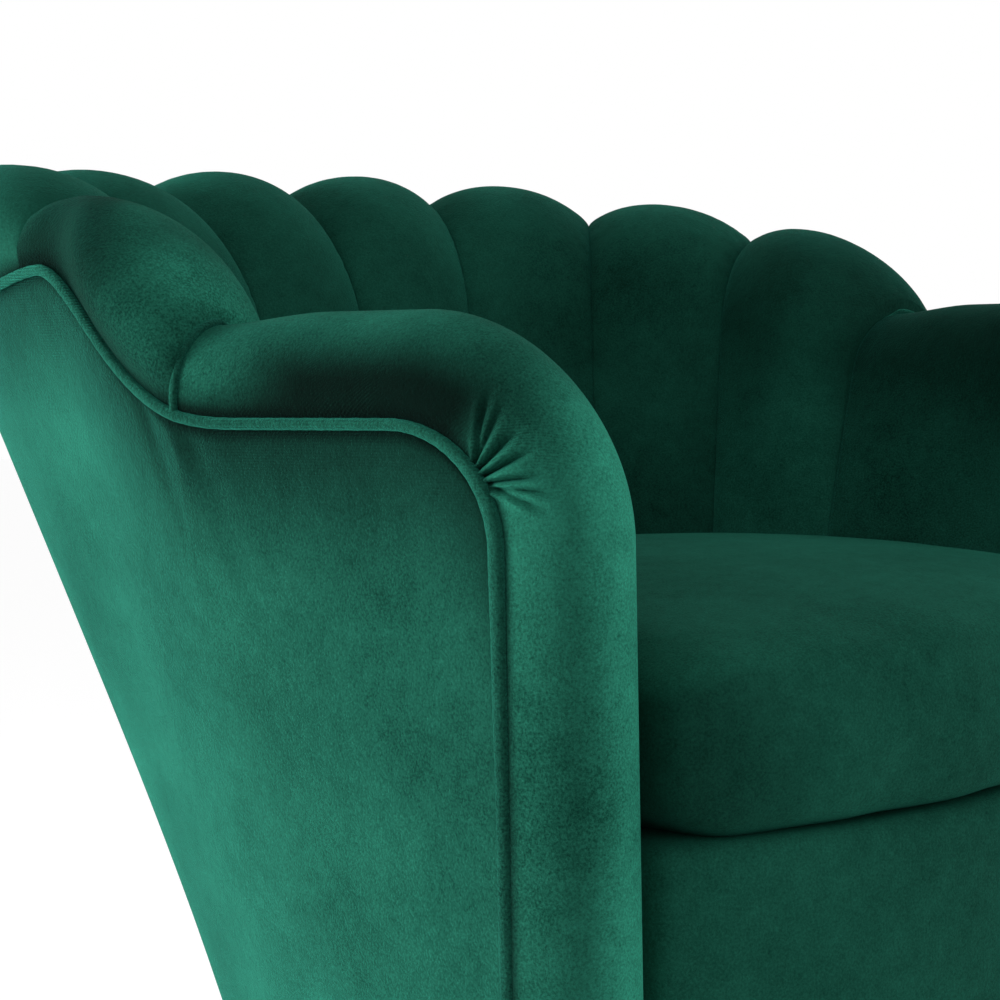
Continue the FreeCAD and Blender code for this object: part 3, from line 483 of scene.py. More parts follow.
class Shader:
    """A node tree under construction, of a material or of the room."""

    def __init__(self, holder):
        self.holder = holder
        holder.use_nodes = True
        self.tree = holder.node_tree

    def node(self, kind, settings=None, inputs=None, output=0):
        """Adds a node: its settings first, then the values or links of its sockets."""
        made = self.tree.nodes.new(kind)
        for key, value in (settings or {}).items():
            setattr(made, key, value)
        for key, value in (inputs or {}).items():
            self.feed(made.inputs[key], value)
        return Flow(self, made.outputs[output])

    def feed(self, socket, value):
        """Sets a socket to a value, or links a flow to it."""
        if isinstance(value, Flow):
            self.tree.links.new(value.socket, socket)
        else:
            socket.default_value = value


class Finish(Shader):
    """A material under construction."""

    def __init__(self, name):
        super().__init__(bpy.data.materials.new(name))
        self.surface = self.tree.nodes["Principled BSDF"]

    def place(self):
        """Object coordinates, which are metres in the chair's frame."""
        return self.node("ShaderNodeTexCoord", output="Object")

    def clouds(self, scale, detail=2.0, roughness=0.5, stretch=None):
        """Soft noise at a number of clouds to the metre."""
        vector = self.place()
        if stretch:
            sockets = {"Vector": vector, "Scale": stretch}
            vector = self.node("ShaderNodeMapping", inputs=sockets)
        sockets = {"Vector": vector, "Scale": scale, "Detail": detail, "Roughness": roughness}
        return self.node("ShaderNodeTexNoise", inputs=sockets)

    def bands(self, direction, **sockets):
        """Even bands across a direction, with the wave's sockets named with low lines."""
        named = {key.replace("_", " "): value for key, value in sockets.items()}
        settings = {"bands_direction": direction}
        named["Vector"] = self.place()
        return self.node("ShaderNodeTexWave", settings, named, output="Fac")

    def mixed(self, way, share, first, second):
        """Two colours mixed in one of the Mix node's ways."""
        settings = {"data_type": "RGBA", "blend_type": way}
        sockets = {"Factor": share, 6: first, 7: second}
        return self.node("ShaderNodeMix", settings, sockets, output=2)

    def blend(self, share, first, second):
        """Two colours mixed by a share."""
        return self.mixed("MIX", share, first, second)

    def shaded(self, color, share):
        """A colour scaled by a share."""
        return self.mixed("MULTIPLY", 1.0, color, share)

    def bump(self, height, distance, strength=1.0, normal=None):
        """A bump of a real height in metres."""
        sockets = {"Height": height, "Distance": distance, "Strength": strength}
        if normal is not None:
            sockets["Normal"] = normal
        return self.node("ShaderNodeBump", inputs=sockets, output="Normal")

    def set(self, **sockets):
        """Feeds the surface's sockets, named with low lines for spaces, and gives the material."""
        for key, value in sockets.items():
            self.feed(self.surface.inputs[key.replace("_", " ")], value)
        return self.holder


def opaque(color, share=1.0):
    """A colour scaled by a number, without transparency."""
    return tuple(share * value for value in color[:3]) + (1,)


class Pile(NamedTuple):
    """How a velvet's pile lies on one kind of piece.

    nap is how much it sends back: partly the way it is brushed and partly painted light and shade,
    so that the kinds are lit and shaded copies of one velvet. sheen is the light along its tips,
    patches and grain how uneven it is, and rows the direction across the knitted rows.
    """

    nap_and_painted_light: float
    sheen: float = 0.75
    patches: float = 0.9
    grain: float = 2.2
    rows: str = ""


# Each kind's nap is partly painted light and shade, making lit and shaded copies of one velvet
PILES = {
    "channel": Pile(nap_and_painted_light=1.20, sheen=0.38, grain=1.3),
    "wing": Pile(nap_and_painted_light=1.60, sheen=0.26, patches=1.2),
    "arm": Pile(nap_and_painted_light=1.90, sheen=0.28, patches=1.1, grain=1.8, rows="DIAGONAL"),
    "welt": Pile(nap_and_painted_light=1.35, rows="Z"),
    "cover": Pile(nap_and_painted_light=1.75, sheen=0.95, grain=1.6, rows="Z"),
    "cushion": Pile(nap_and_painted_light=1.75, sheen=0.14, patches=0.5, grain=1.3),
}
# Clouds of the pile: how many to the metre, their detail and their roughness
BRUSHED_CLOUDS = (6.5, 5, 0.55)
CRUSHED_CLOUDS = (70, 4, 0.65)
MOTTLE_CLOUDS = (620, 3, 0.7)
TIP_CLOUDS = (1900, 2, 0.6)
BRUSHED_SHARE = 1.6
CRUSHED_SHARE = 0.55
PILE_HEIGHT = 0.0014
PILE_BUMP = 0.41
CRUSH_HEIGHT = 0.0022
CRUSH_BUMP = 0.35
# Knitted rows: how many to the metre, where the pile lies flat enough, and the height they start at
ROW_SCALES = {"Z": 185, "DIAGONAL": 270}
ROW_CLOUDS = (11, 2, 0.6)
ROW_FLATNESS = 0.52
ROW_FOOT = 0.50
ROW_RISE = 5
ROW_STRENGTH = 4.096


def knitted_rows(cloth, direction):
    """The rows of the knitted ground, which show faintly where the pile lies flat."""
    knit = cloth.bands(
        direction, Scale=ROW_SCALES[direction], Distortion=1.2, Detail=1.0, Detail_Scale=0.4
    )
    bare = (cloth.clouds(*ROW_CLOUDS) - ROW_FLATNESS).at_least(0)
    height = cloth.node("ShaderNodeSeparateXYZ", inputs={"Vector": cloth.place()}, output="Z")
    upper = ((height - ROW_FOOT) * ROW_RISE).at_least(0)
    return (knit - 0.5) * bare * upper * ROW_STRENGTH


@lru_cache(maxsize=None)
def velvet(kind):
    """Short-pile velvet, as it lies on one kind of piece."""
    look = bpy.context.scene.chair_finish
    pile = PILES[kind]
    cloth = Finish(f"velvet_{kind}")
    brushed = (cloth.clouds(*BRUSHED_CLOUDS) - 0.5) * pile.patches * BRUSHED_SHARE
    crushed = cloth.clouds(*CRUSHED_CLOUDS)
    mottle = cloth.clouds(*MOTTLE_CLOUDS)
    share = brushed + (crushed - 0.5) * CRUSHED_SHARE + (mottle - 0.5) * pile.grain + 0.5
    height = cloth.clouds(*TIP_CLOUDS) * 0.5 + mottle
    if pile.rows:
        knit = knitted_rows(cloth, pile.rows)
        share = share + knit
        height = height + knit
    deep = opaque(look.velvet_deep, pile.nap_and_painted_light)
    bright = opaque(look.velvet, pile.nap_and_painted_light)
    # Painted light and shade kept with each mesh, multiplied into the colour
    turned = cloth.node("ShaderNodeAttribute", {"attribute_name": "brushed"}, output="Fac")
    fibres = cloth.bump(height, PILE_HEIGHT, PILE_BUMP * pile.grain)
    return cloth.set(
        Base_Color=cloth.shaded(cloth.blend(share, deep, bright), turned),
        Roughness=mottle * 0.12 + 0.78,
        Normal=cloth.bump(crushed, CRUSH_HEIGHT, CRUSH_BUMP, fibres),
        Specular_IOR_Level=0.03,
        Sheen_Weight=pile.sheen,
        Sheen_Roughness=0.36,
        Sheen_Tint=tuple(look.velvet_sheen),
    )


@lru_cache(maxsize=None)
def brass():
    """Satin brass, brushed round the leg."""
    look = bpy.context.scene.chair_finish
    metal = Finish("satin_brass")
    rings = metal.clouds(60, 3, 0.6, stretch=(1, 1, 22))
    haze = metal.clouds(14, 3, 0.5)
    return metal.set(
        Base_Color=metal.blend(haze, opaque(look.brass), opaque(look.brass, 0.82)),
        Metallic=1.0,
        Roughness=rings * 0.16 + haze * 0.08 + 0.16,
        Normal=metal.bump(rings, 0.00008, 0.4),
    )


@lru_cache(maxsize=None)
def sawn_wood():
    """Plain sawn frame wood with long grain."""
    look = bpy.context.scene.chair_finish
    wood = Finish("sawn_wood")
    bent = wood.clouds(4, 2, 0.5)
    grain = wood.clouds(38, 5, 0.6, stretch=(0.25, 1, 1))
    pores = wood.clouds(420, 3, 0.7, stretch=(0.12, 1, 1))
    share = grain * 0.8 + bent * 0.3 - 0.1
    return wood.set(
        Base_Color=wood.blend(share, opaque(look.wood), opaque(look.wood, 0.55)),
        Roughness=pores * 0.25 + 0.6,
        Normal=wood.bump(pores + grain, 0.0003, 0.6),
    )


@lru_cache(maxsize=None)
def plywood():
    """Birch plywood, pale with faint figure."""
    board = Finish("birch_plywood")
    figure = board.clouds(16, 4, 0.55, stretch=(1, 0.2, 1))
    flecks = board.clouds(300, 3, 0.6, stretch=(1, 0.15, 1))
    return board.set(
        Base_Color=board.blend(figure, (0.60, 0.43, 0.25, 1), (0.44, 0.29, 0.15, 1)),
        Roughness=flecks * 0.2 + 0.55,
        Normal=board.bump(flecks, 0.0002, 0.5),
    )


@lru_cache(maxsize=None)
def strap_weave():
    """Dark woven seat webbing."""
    strap = Finish("strap_weave")
    warp, weft = strap.bands("X", Scale=160.0), strap.bands("Y", Scale=160.0)
    fuzz = strap.clouds(700, 3, 0.6)
    share = fuzz * 0.6 + warp * weft * 0.5
    return strap.set(
        Base_Color=strap.blend(share, (0.018, 0.016, 0.014, 1), (0.085, 0.075, 0.062, 1)),
        Roughness=fuzz * 0.2 + 0.7,
        Normal=strap.bump(warp + weft, 0.0004, 0.7),
    )


@lru_cache(maxsize=None)
def black_cloth():
    """Black non-woven lining."""
    lining = Finish("black_lining")
    felt = lining.clouds(500, 4, 0.7)
    sockets = {"Vector": lining.place(), "Scale": 420.0}
    dimples = lining.node("ShaderNodeTexVoronoi", inputs=sockets)
    return lining.set(
        Base_Color=lining.blend(felt, (0.010, 0.010, 0.011, 1), (0.028, 0.028, 0.030, 1)),
        Roughness=felt * 0.15 + 0.8,
        Normal=lining.bump(dimples + felt, 0.0003, 0.6),
    )


@lru_cache(maxsize=None)
def zinc_steel():
    """Zinc-plated steel of the studs and nuts."""
    steel = Finish("zinc_steel")
    bloom = steel.clouds(240, 3, 0.6)
    return steel.set(
        Base_Color=steel.blend(bloom, (0.62, 0.62, 0.60, 1), (0.42, 0.43, 0.44, 1)),
        Metallic=1.0,
        Roughness=bloom * 0.25 + 0.25,
    )


@lru_cache(maxsize=None)
def glide_plastic():
    """Black moulded plastic under the feet."""
    plastic = Finish("glide_plastic")
    grain = plastic.clouds(1500, 2, 0.6)
    return plastic.set(
        Base_Color=plastic.blend(grain, (0.012, 0.012, 0.013, 1), (0.030, 0.030, 0.032, 1)),
        Roughness=grain * 0.2 + 0.4,
        Normal=plastic.bump(grain, 0.0001, 0.5),
    )


# Channels

# Points of a channel's section, over the top, down the curve and on the face
OVER_POINTS, CURVE_POINTS, FACE_POINTS = 30, 40, 24
CHANNEL_COLUMNS = 44
CHANNEL_ROWS = 92
CHANNEL_EASING = 14
SWELL_POWERS = (2.1, 0.8)
CROWN_START = 0.040
PUCKER_PITCH = 0.017
PUCKER_WANDER = 23
PUCKER_BESIDE = 0.006

# Painted light and shade on the channels: start, length, share there and share beyond, over the
# section or, where it says across, from seam to seam
CHANNEL_TUCK = (0.004, 0.012, 0.12, 1)
FAR_WING_RISE = (0.15, 0.20, 0.60, 1.50)
WING_ACROSS = (0, 0.42, 2.60, 0.45)
WING_OVER = (0.060, 0.050, 0.62, 1.30)
WING_FACE = (0.085, 0.030, 0, 0.75)
WING_FACE_ACROSS = (0.25, 0.20, 0, 1)
WING_SHADOW = 0.22
WING_SHADOW_LENGTHS = (0.040, 0.070)
# A dark patch on the near wing: places and widths across and over, and how much it takes
WING_PATCH = (0.74, 0.17, 0.066, 0.030, 0.50)


def channel_section(station, top, seam_share, form, scallop):
    """One section of a back channel, with its visible face and its hidden back."""
    side_power, round_power = SWELL_POWERS
    swell = (1 - abs(2 * seam_share - 1) ** side_power) ** round_power
    welt_top = station.welt_z + form.welt_radius + ROLL_ROOM
    notch_inset, notch_height = top
    shoulder_inset = station.inside - SHOULDER_SETBACK
    drop = SHOULDER_DROP + SHOULDER_DROP_SHARE * (shoulder_inset - notch_inset)
    shoulder = (shoulder_inset, notch_height - drop)
    over = level_arc((0, welt_top - TUCK_DEPTH), top, OVER_POINTS)
    inner = level_arc(shoulder, top, CURVE_POINTS)[::-1]
    seat_line = (station.inside, SEAT_LINE_HEIGHT)
    toe = (station.inside + TOE_DRAW, FOOT_HEIGHT)
    face = resampled(np.vstack([inner[-1:], [seat_line]]), FACE_POINTS)
    line = np.vstack([[TUCK_INSET, station.welt_z], over, inner[1:], face[1:], toe])
    line = eased(resampled(line, CHANNEL_ROWS), CHANNEL_EASING)
    along = np.gradient(line, axis=0)
    along /= np.linalg.norm(along, axis=1)[:, None]
    normal = np.stack([-along[:, 1], along[:, 0]], axis=1)
    lengths = run_lengths(line)
    upper = level_start((line[:, 1] - shoulder[1]) / (notch_height - shoulder[1]))
    crown = form.crown + (scallop - form.crown) * upper
    crown = crown * level_start(lengths / CROWN_START) * swell
    beside = min(seam_share, 1 - seam_share) * CHANNEL_PITCH
    wave = np.sin(lengths * 2 * math.pi / PUCKER_PITCH + 3 * np.sin(lengths * PUCKER_WANDER))
    ripple = form.pucker * math.exp(-((beside - PUCKER_BESIDE) / PUCKER_BESIDE) ** 2) * wave
    line = line + normal * (crown + ripple)[:, None]
    heel = (station.shell(FOOT_HEIGHT) + FRAME_DEPTH, FOOT_HEIGHT)
    rear = (FRAME_DEPTH, welt_top)
    return np.vstack([line, [heel, rear]])


def channel_light_and_shade(index, share, section):
    """Painted light and shade on a channel: dark in the welt's seam, the wings light beside the
    arm.
    """
    over = run_lengths(section)
    painted_tuck_shade = graded(over, *CHANNEL_TUCK)
    if index == CHANNEL_COUNT - 1:
        return painted_tuck_shade * graded(over, *FAR_WING_RISE)
    if index:
        return painted_tuck_shade
    light = float(graded(share, *WING_ACROSS)) * graded(over, *WING_OVER)
    light = light + graded(over, *WING_FACE) * graded(share, *WING_FACE_ACROSS)
    short, long = WING_SHADOW_LENGTHS
    shadow = graded(over, 0, long + (short - long) * share, WING_SHADOW)
    across, width, place, length, strength = WING_PATCH
    off = ((share - across) / width) ** 2 + ((over - place) / length) ** 2
    return painted_tuck_shade * light * shadow * (1 - strength * np.exp(-off))


class CHAIR_OT_channels(bpy.types.Operator):
    """Builds the nine stuffed channels of the wings and the back"""

    bl_idname = "chair.channels"
    bl_label = "Channels"

    def execute(self, context):
        form = context.scene.chair_form
        shares = 0.5 - 0.5 * np.cos(np.linspace(0, math.pi, CHANNEL_COLUMNS))
        for index in range(CHANNEL_COUNT):
            start = SEAM_PLACES[index] + SEAM_GAP / 2
            end = SEAM_PLACES[index + 1] - SEAM_GAP / 2
            scallop = form.scallop * SCALLOP_SHARES[index]
            rings, brushed = [], []
            for share in map(float, shares):
                distance = float(start + (end - start) * share)
                station = back_station(distance)
                section = channel_section(station, notch(distance), share, form, scallop)
                rings.append(station.place(*section.T))
                brushed.append(channel_light_and_shade(index, share, section))
            name = f"velvet_channel_{index + 1}"
            piece = grid_piece(name, np.array(rings), shares=np.array(brushed))
            look = velvet("channel" if index else "wing")
            finish(piece, "chair", [f"back_channel_{index + 1}"], look)
        return {"FINISHED"}


# Arms

# Rings along an arm's welt: over the top, round the turn, down the front and at its foot
TOP_RINGS, TURN_RINGS, FRONT_RINGS, FOOT_RINGS = 56, 200, 40, 30
# Points of a ring: over the roll, down its inner curve and down the inside
ROLL_POINTS, INNER_POINTS, FALL_POINTS = 64, 30, 22
ARM_EASING = 6
EDGE_SHARE = 0.25
SAME_WIDTH = 0.001

# Pleats in the turn: degrees round it and length over the roll, at the start and at the end,
# and how strong each is
PLEATS = (
    (47, 0.011, 34, 0.047, 0.7),
    (50, 0.007, 41, 0.043, 0.9),
    (53, 0.006, 50.5, 0.043, 1.0),
    (56.5, 0.006, 58.5, 0.046, 1.1),
    (60, 0.006, 68, 0.046, 1.1),
    (62.5, 0.007, 74, 0.047, 1.0),
    (64, 0.009, 79, 0.038, 0.8),
)
PLEAT_MIDDLE = 57
PLEAT_REACH = 0.8
PLEAT_WIDTH = 0.0010
PLEAT_START, PLEAT_START_SHARE, PLEAT_END = 0.12, 0.6, 0.7
RIDGE_PLACE, RIDGE_WIDTH, RIDGE_HEIGHT = 2.6, 1.3, 0.45
PLEAT_LIMITS = (-0.5, 1.15)

# Painted light and shade on the arms: start, length, share there and share beyond, by length over
# the roll or in front of the crease, or by degrees round the turn
ARM_TUCK = (0.003, 0.011, 0.10, 1)
TOP_SHADE = (0.026, 0.056, 0.05, 1)
WING_END_LIGHT = 1.10
WING_END_OVER = (0, 0.030, 0, 1)
WING_END_ALONG = (0, 0.095, 1, 0)
RIM_LIGHT = (0.042, 0.045, 1.15, 3.25)
FRONT_TURN = (28, 42, 0, 1)
PLEAT_SHADE = 0.55
PLEAT_SHADE_LIMITS = (-0.4, 1.2)
PAST_CREST = (0.050, 0.040, 0, 1)
# Painted shade on the far arm's inside: by depth below its crest
FAR_ARM_RISE = (0, 0.15, 0.16, 0.71)


class RollRing(NamedTuple):
    """A place along an arm's welt, and the way in which the roll stands out from it."""

    forward: float
    height: float
    out_forward: float
    out_up: float
    part: str


def roll_path():
    """The rings along an arm's welt, over the top, round the turn and down the front."""
    rings = []
    for forward in np.linspace(SEAM_GAP / 2, TURN_START, TOP_RINGS, endpoint=False):
        rings.append(RollRing(float(forward), float(welt_height(-forward)), 0.0, 1.0, "top"))
    for angle in np.linspace(0, math.pi / 2, TURN_RINGS, endpoint=False):
        sine, cosine = math.sin(angle), math.cos(angle)
        forward = TURN_START + WELT_CORNER_RADIUS * sine
        height = TURN_CENTRE_HEIGHT + WELT_CORNER_RADIUS * cosine
        rings.append(RollRing(forward, height, sine, cosine, "turn"))
    front = np.linspace(TURN_CENTRE_HEIGHT, FOOT_HEIGHT, FRONT_RINGS, endpoint=False)
    foot = np.linspace(FOOT_HEIGHT, SKIRT_HEIGHT, FOOT_RINGS)
    for height in np.concatenate([front, foot]):
        rings.append(RollRing(ARM_LENGTH, float(height), 1.0, 0.0, "front"))
    return rings


def arm_crest(forward):
    """How high the roll stands over the welt, by the length in front of the crease."""
    level = ARM_WELT_HEIGHT + ARM_ROLL_RISE
    crest = float(graded(2 * forward, 0, TURN_START, ARM_CREST_WING, level))
    dip = float(graded(forward, 0, ARM_END_LENGTH, ARM_END_DIP, 0))
    return crest - float(welt_height(-forward)) - dip


def arm_ring(ring, form):
    """Points of one ring, from under the welt over the roll and down the inside.

    They are given in the arm's own frame: forward, inset and height.
    """
    on_top = ring.part == "top"
    if on_top:
        rise, inside = arm_crest(ring.forward), arm_station(ring.forward, 1).inside
    else:
        rise = float(graded(ring.out_forward, 0, 1, ARM_ROLL_RISE, ARM_FRONT_REACH))
        inside = ARM_WIDTH
    half = ARM_WIDTH / 2
    edge = ARM_WIDTH + (inside - ARM_WIDTH) * EDGE_SHARE
    low = form.welt_radius + ROLL_ROOM
    over = level_arc((0, low - TUCK_DEPTH), (half, rise), ROLL_POINTS)
    inner = level_arc((edge, rise - half), (half, rise), INNER_POINTS)[::-1]
    if on_top:
        top_z = ring.height + rise - half
        share = (top_z - TURN_CENTRE_HEIGHT) / (top_z - SEAT_LINE_HEIGHT)
        end = (edge + (inside - edge) * share, TURN_CENTRE_HEIGHT - ring.height)
    elif ring.part == "front" and ring.height < FOOT_HEIGHT:
        end = (ARM_WIDTH, low)
    else:
        end = (ARM_WIDTH, -WELT_CORNER_RADIUS)
    fall = resampled(np.array([inner[-1], end]), FALL_POINTS)
    inset, out = eased(np.vstack([[TUCK_INSET, 0], over, inner[1:], fall[1:]]), ARM_EASING).T
    forward = ring.forward + ring.out_forward * out
    return np.stack([forward, inset, ring.height + ring.out_up * out], axis=1)


def arm_side_panel(grid, rings):
    """The lower inside face of an arm, behind its front and below its roll."""
    front = [
        index for index, ring in enumerate(rings)
        if ring.part == "front" and ring.height >= FOOT_HEIGHT - HAIR
    ]
    panel = []
    for ring, edge in zip(rings, grid[:, -1]):
        if ring.part != "top":
            continue
        inside = arm_station(ring.forward, 1).inside
        toe = TOE_DRAW * (inside > ARM_WIDTH + SAME_WIDTH)
        column = []
        for height in (rings[index].height for index in front):
            if height >= SEAT_LINE_HEIGHT:
                share = (TURN_CENTRE_HEIGHT - height) / (TURN_CENTRE_HEIGHT - SEAT_LINE_HEIGHT)
                inset = edge[1] + (inside - edge[1]) * share
            else:
                share = (SEAT_LINE_HEIGHT - height) / (SEAT_LINE_HEIGHT - FOOT_HEIGHT)
                inset = inside + toe * share
            column.append((edge[0], inset, height))
        panel.append(column)
    panel.append([tuple(grid[index][-1]) for index in front])
    return np.array(panel)


def pleat_place(turn, over):
    """A place round the turn, in degrees, and over the roll, laid flat."""
    reach = WELT_CORNER_RADIUS + PLEAT_REACH * np.minimum(over, ARM_ROLL_RISE)
    return np.stack([np.radians(turn - PLEAT_MIDDLE) * reach, over], axis=-1)


def pleat_dip(turn, over, form):
    """How far the pleats draw the roll in at a place round the turn and over the roll."""
    here = pleat_place(turn, over)
    total = np.zeros(turn.shape)
    for start_turn, start_over, end_turn, end_over, strength in PLEATS:
        first = pleat_place(start_turn, start_over)
        line = pleat_place(end_turn, end_over) - first
        length = np.linalg.norm(line)
        line = line / length
        away = here - first
        along = away @ line / length
        off = np.abs(away @ np.array([line[1], -line[0]]))
        width = PLEAT_WIDTH * (1 + np.clip(along, 0, 1))
        fade = level_start(along / PLEAT_START + PLEAT_START_SHARE)
        fade = fade * level_start((1 - along) / PLEAT_END)
        valley = np.exp(-off / width)
        ridge = np.exp(-(((off - RIDGE_PLACE * width) / (RIDGE_WIDTH * width)) ** 2))
        total += strength * fade * (valley - RIDGE_HEIGHT * ridge)
    return form.pleat_depth * np.clip(total, *PLEAT_LIMITS)


def turn_degrees(rings):
    """How far round the turn each ring lies."""
    return np.degrees([math.atan2(ring.out_forward, ring.out_up) for ring in rings])


def past_turn(ring):
    """How far a ring lies past the turn, or before it where negative."""
    if ring.part == "front":
        return TURN_CENTRE_HEIGHT - ring.height
    return ring.forward - TURN_START if ring.part == "top" else 0.0


def gathered(grid, rings, form):
    """An arm's face drawn in by its pleats, and how deep each point lies in them."""
    lengths = run_lengths(grid)
    past = np.array([past_turn(ring) for ring in rings])[:, None]
    reach = WELT_CORNER_RADIUS + PLEAT_REACH * np.minimum(lengths, ARM_ROLL_RISE)
    dip = pleat_dip(turn_degrees(rings)[:, None] + np.degrees(past / reach), lengths, form)
    normal = np.cross(np.gradient(grid, axis=1), np.gradient(grid, axis=0))
    normal /= np.maximum(np.linalg.norm(normal, axis=2), HAIR**2)[:, :, None]
    outward = np.array([[ring.out_forward, 0, ring.out_up] for ring in rings])[:, None, :]
    facing = np.sign((normal[:, :ROLL_POINTS] * outward).sum(axis=2)).mean()
    return grid - normal * np.where(facing >= 0, 1, -1) * dip[:, :, None], dip


def arm_light_and_shade(rings, grid, dip, form):
    """Painted light and shade on an arm, and how far each point is past the crest.

    It is painted dark over the welt and in the pleats, and painted light at the wing and round the
    front.
    """
    over = run_lengths(grid)
    forwards = [ring.forward if ring.part == "top" else ARM_LENGTH for ring in rings]
    top = graded(over, *TOP_SHADE)
    wing_end = graded(np.array(forwards)[:, None], *WING_END_ALONG)
    top = top + (WING_END_LIGHT - top) * wing_end * graded(over, *WING_END_OVER)
    front = graded(turn_degrees(rings)[:, None], *FRONT_TURN)
    brushed = top + (graded(over, *RIM_LIGHT) - top) * front
    painted_pleat_shade = 1 - PLEAT_SHADE * np.clip(dip / form.pleat_depth, *PLEAT_SHADE_LIMITS)
    return brushed * graded(over, *ARM_TUCK) * painted_pleat_shade, graded(over, *PAST_CREST)


def arm_to_chair(points, side):
    """Arm coordinates, forward, inset and height, as chair coordinates."""
    flat = CREASE_POINT + points[..., :1] * ARM_FORWARD + points[..., 1:2] * ARM_INWARD
    placed = np.concatenate([flat[..., :1] * side, flat[..., 1:], points[..., 2:]], axis=-1)
    return placed.reshape(-1, 3)


class CHAIR_OT_arms(bpy.types.Operator):
    """Builds the padded arms with their gathered fronts"""

    bl_idname = "chair.arms"
    bl_label = "Arms"

    def execute(self, context):
        form = context.scene.chair_form
        rings = roll_path()
        grid = np.array([arm_ring(ring, form) for ring in rings])
        panel = arm_side_panel(grid, rings)
        skin, dip = gathered(grid, rings, form)
        brushed, inward = arm_light_and_shade(rings, grid, dip, form)
        shift = skin.shape[0] * skin.shape[1]
        faces = grid_faces(*skin.shape[:2], closed=False)
        for face in grid_faces(*panel.shape[:2], closed=False):
            faces.append(tuple(corner + shift for corner in face))
        on_panel = np.ones(panel.shape[0] * panel.shape[1])
        shares = np.concatenate([brushed.ravel(), on_panel])
        inner = np.concatenate([inward.ravel(), on_panel])
        for name, side in SIDES:
            points = np.vstack([arm_to_chair(skin, side), arm_to_chair(panel, side)])
            lit = shares
            # The far arm's inside past the crest takes painted shade by depth below its crest
            if side > 0:
                shadow = graded(ARM_CREST_WING - points[:, 2], *FAR_ARM_RISE)
                lit = shares * (1 - inner) + shadow * inner
            piece = new_piece(f"velvet_arm_{name}", points, faces, shares=lit)
            thicken = piece.modifiers.new("cloth", "SOLIDIFY")
            thicken.thickness = ARM_CLOTH
            thicken.offset = -1
            finish(piece, "chair", [f"arm_pad_{name}"], velvet("arm"))
        return {"FINISHED"}


# Covers and cords

# Points of the welt: along the back, the arm, its corner and its front
WELT_BACK_POINTS, WELT_ARM_POINTS, WELT_CORNER_POINTS, WELT_FRONT_POINTS = 150, 24, 30, 60
WELT_STEP = 0.0022
WELT_SIDES, CREASE_WELT_SIDES = 18, 14
WELT_HEM_ROOM = 0.004
WELT_LEAN_LENGTH = 0.05
# The welt is thicker at the arm's front, by its length from the foot, and ripples a little
WELT_FRONT = (0.34, 0.10, 0.42, 0)
WELT_RIPPLE = 0.025
WELT_RIPPLE_PITCH = 0.0105
WELT_RIPPLE_WANDER = 61
CREASE_POINTS, CREASE_WELT_POINTS = 40, 60
CREASE_END = (0.020, -0.006)
CREASE_LIFT = 0.6
CREASE_TAPER = (0.7, 0.3, 1, 0.25)

# Rings and rows of the outside covers; the rows below the welt lie closer
SIDE_COVER_RINGS, TURN_COVER_RINGS, BACK_COVER_RINGS = 140, 24, 90
FINE_ROWS, FINE_LENGTH, COVER_ROWS = 20, 0.024, 50
COVER_SWELL_POWER = 0.8
COVER_EDGE, COVER_EDGE_LENGTH = 0.0036, 0.0052
COVER_BACK_INSET = 0.003
# The hem's points, in from the cover's lower edge and up from it
HEM = ((0.003, -0.0012), (0.014, -0.0012), (0.014, 0.001), (0.004, 0.002))
HEM_ROOM = 0.0005
# Folds below the welt's bend: length behind the crease, width, reach down and depth
DRAG_FOLDS = (
    (0.034, 0.0085, 0.055, 0.0026),
    (0.012, 0.0060, 0.040, -0.0016),
    (-0.004, 0.0075, 0.050, 0.0024),
    (-0.026, 0.0090, 0.035, -0.0010),
)
FOLD_SLANT = 0.45
FOLD_START = 0.012
# Painted light and shade on the covers, by length below the welt
COVER_TUCK = (0.002, 0.010, 0.15, 1)
COVER_UPPER = (0, 0.120, 0.24, 0.90)
COVER_LOWER = (0.12, 0.20, 0, 0.20)


def arm_front_steps():
    """Places along an arm from the crease to its welt corner."""
    return np.linspace(0, TURN_START, WELT_ARM_POINTS, endpoint=False)


def welt_path(side):
    """The welt from the middle of the back to the foot of one arm's front."""
    points = []
    for distance in np.linspace(0, WELT_CURVE.length, WELT_BACK_POINTS, endpoint=False):
        station = back_station(side * max(float(distance), HAIR))
        points.append(station.place(0, station.welt_z))
    for forward in arm_front_steps():
        station = arm_station(float(forward), side)
        points.append(station.place(0, station.welt_z))
    for angle in np.linspace(0, math.pi / 2, WELT_CORNER_POINTS, endpoint=False):
        forward = ARM_LENGTH - WELT_CORNER_RADIUS * (1 - math.sin(angle))
        drop = WELT_CORNER_RADIUS * (1 - math.cos(angle))
        points.append(arm_station(float(forward), side).place(0, ARM_WELT_HEIGHT - drop))
    front = arm_station(ARM_LENGTH, side)
    foot = SKIRT_HEIGHT + WELT_HEM_ROOM
    for height in np.linspace(TURN_CENTRE_HEIGHT, foot, WELT_FRONT_POINTS):
        lean = level_start((TURN_CENTRE_HEIGHT - height) / WELT_LEAN_LENGTH)
        points.append(front.place(front.shell(height) * lean, height))
    return np.array(points)


def crease_path(side, form):
    """The small welt in the crease between an arm and its wing."""
    station = arm_station(0.0, side)
    top = (ARM_WIDTH / 2, ARM_CREST_WING - ARM_END_DIP)
    over = level_arc((0, station.welt_z), top, CREASE_POINTS)
    points = station.place(*np.vstack([over, np.add(top, CREASE_END)]).T)
    points[:, 2] += form.crease_welt_radius * CREASE_LIFT
    return points


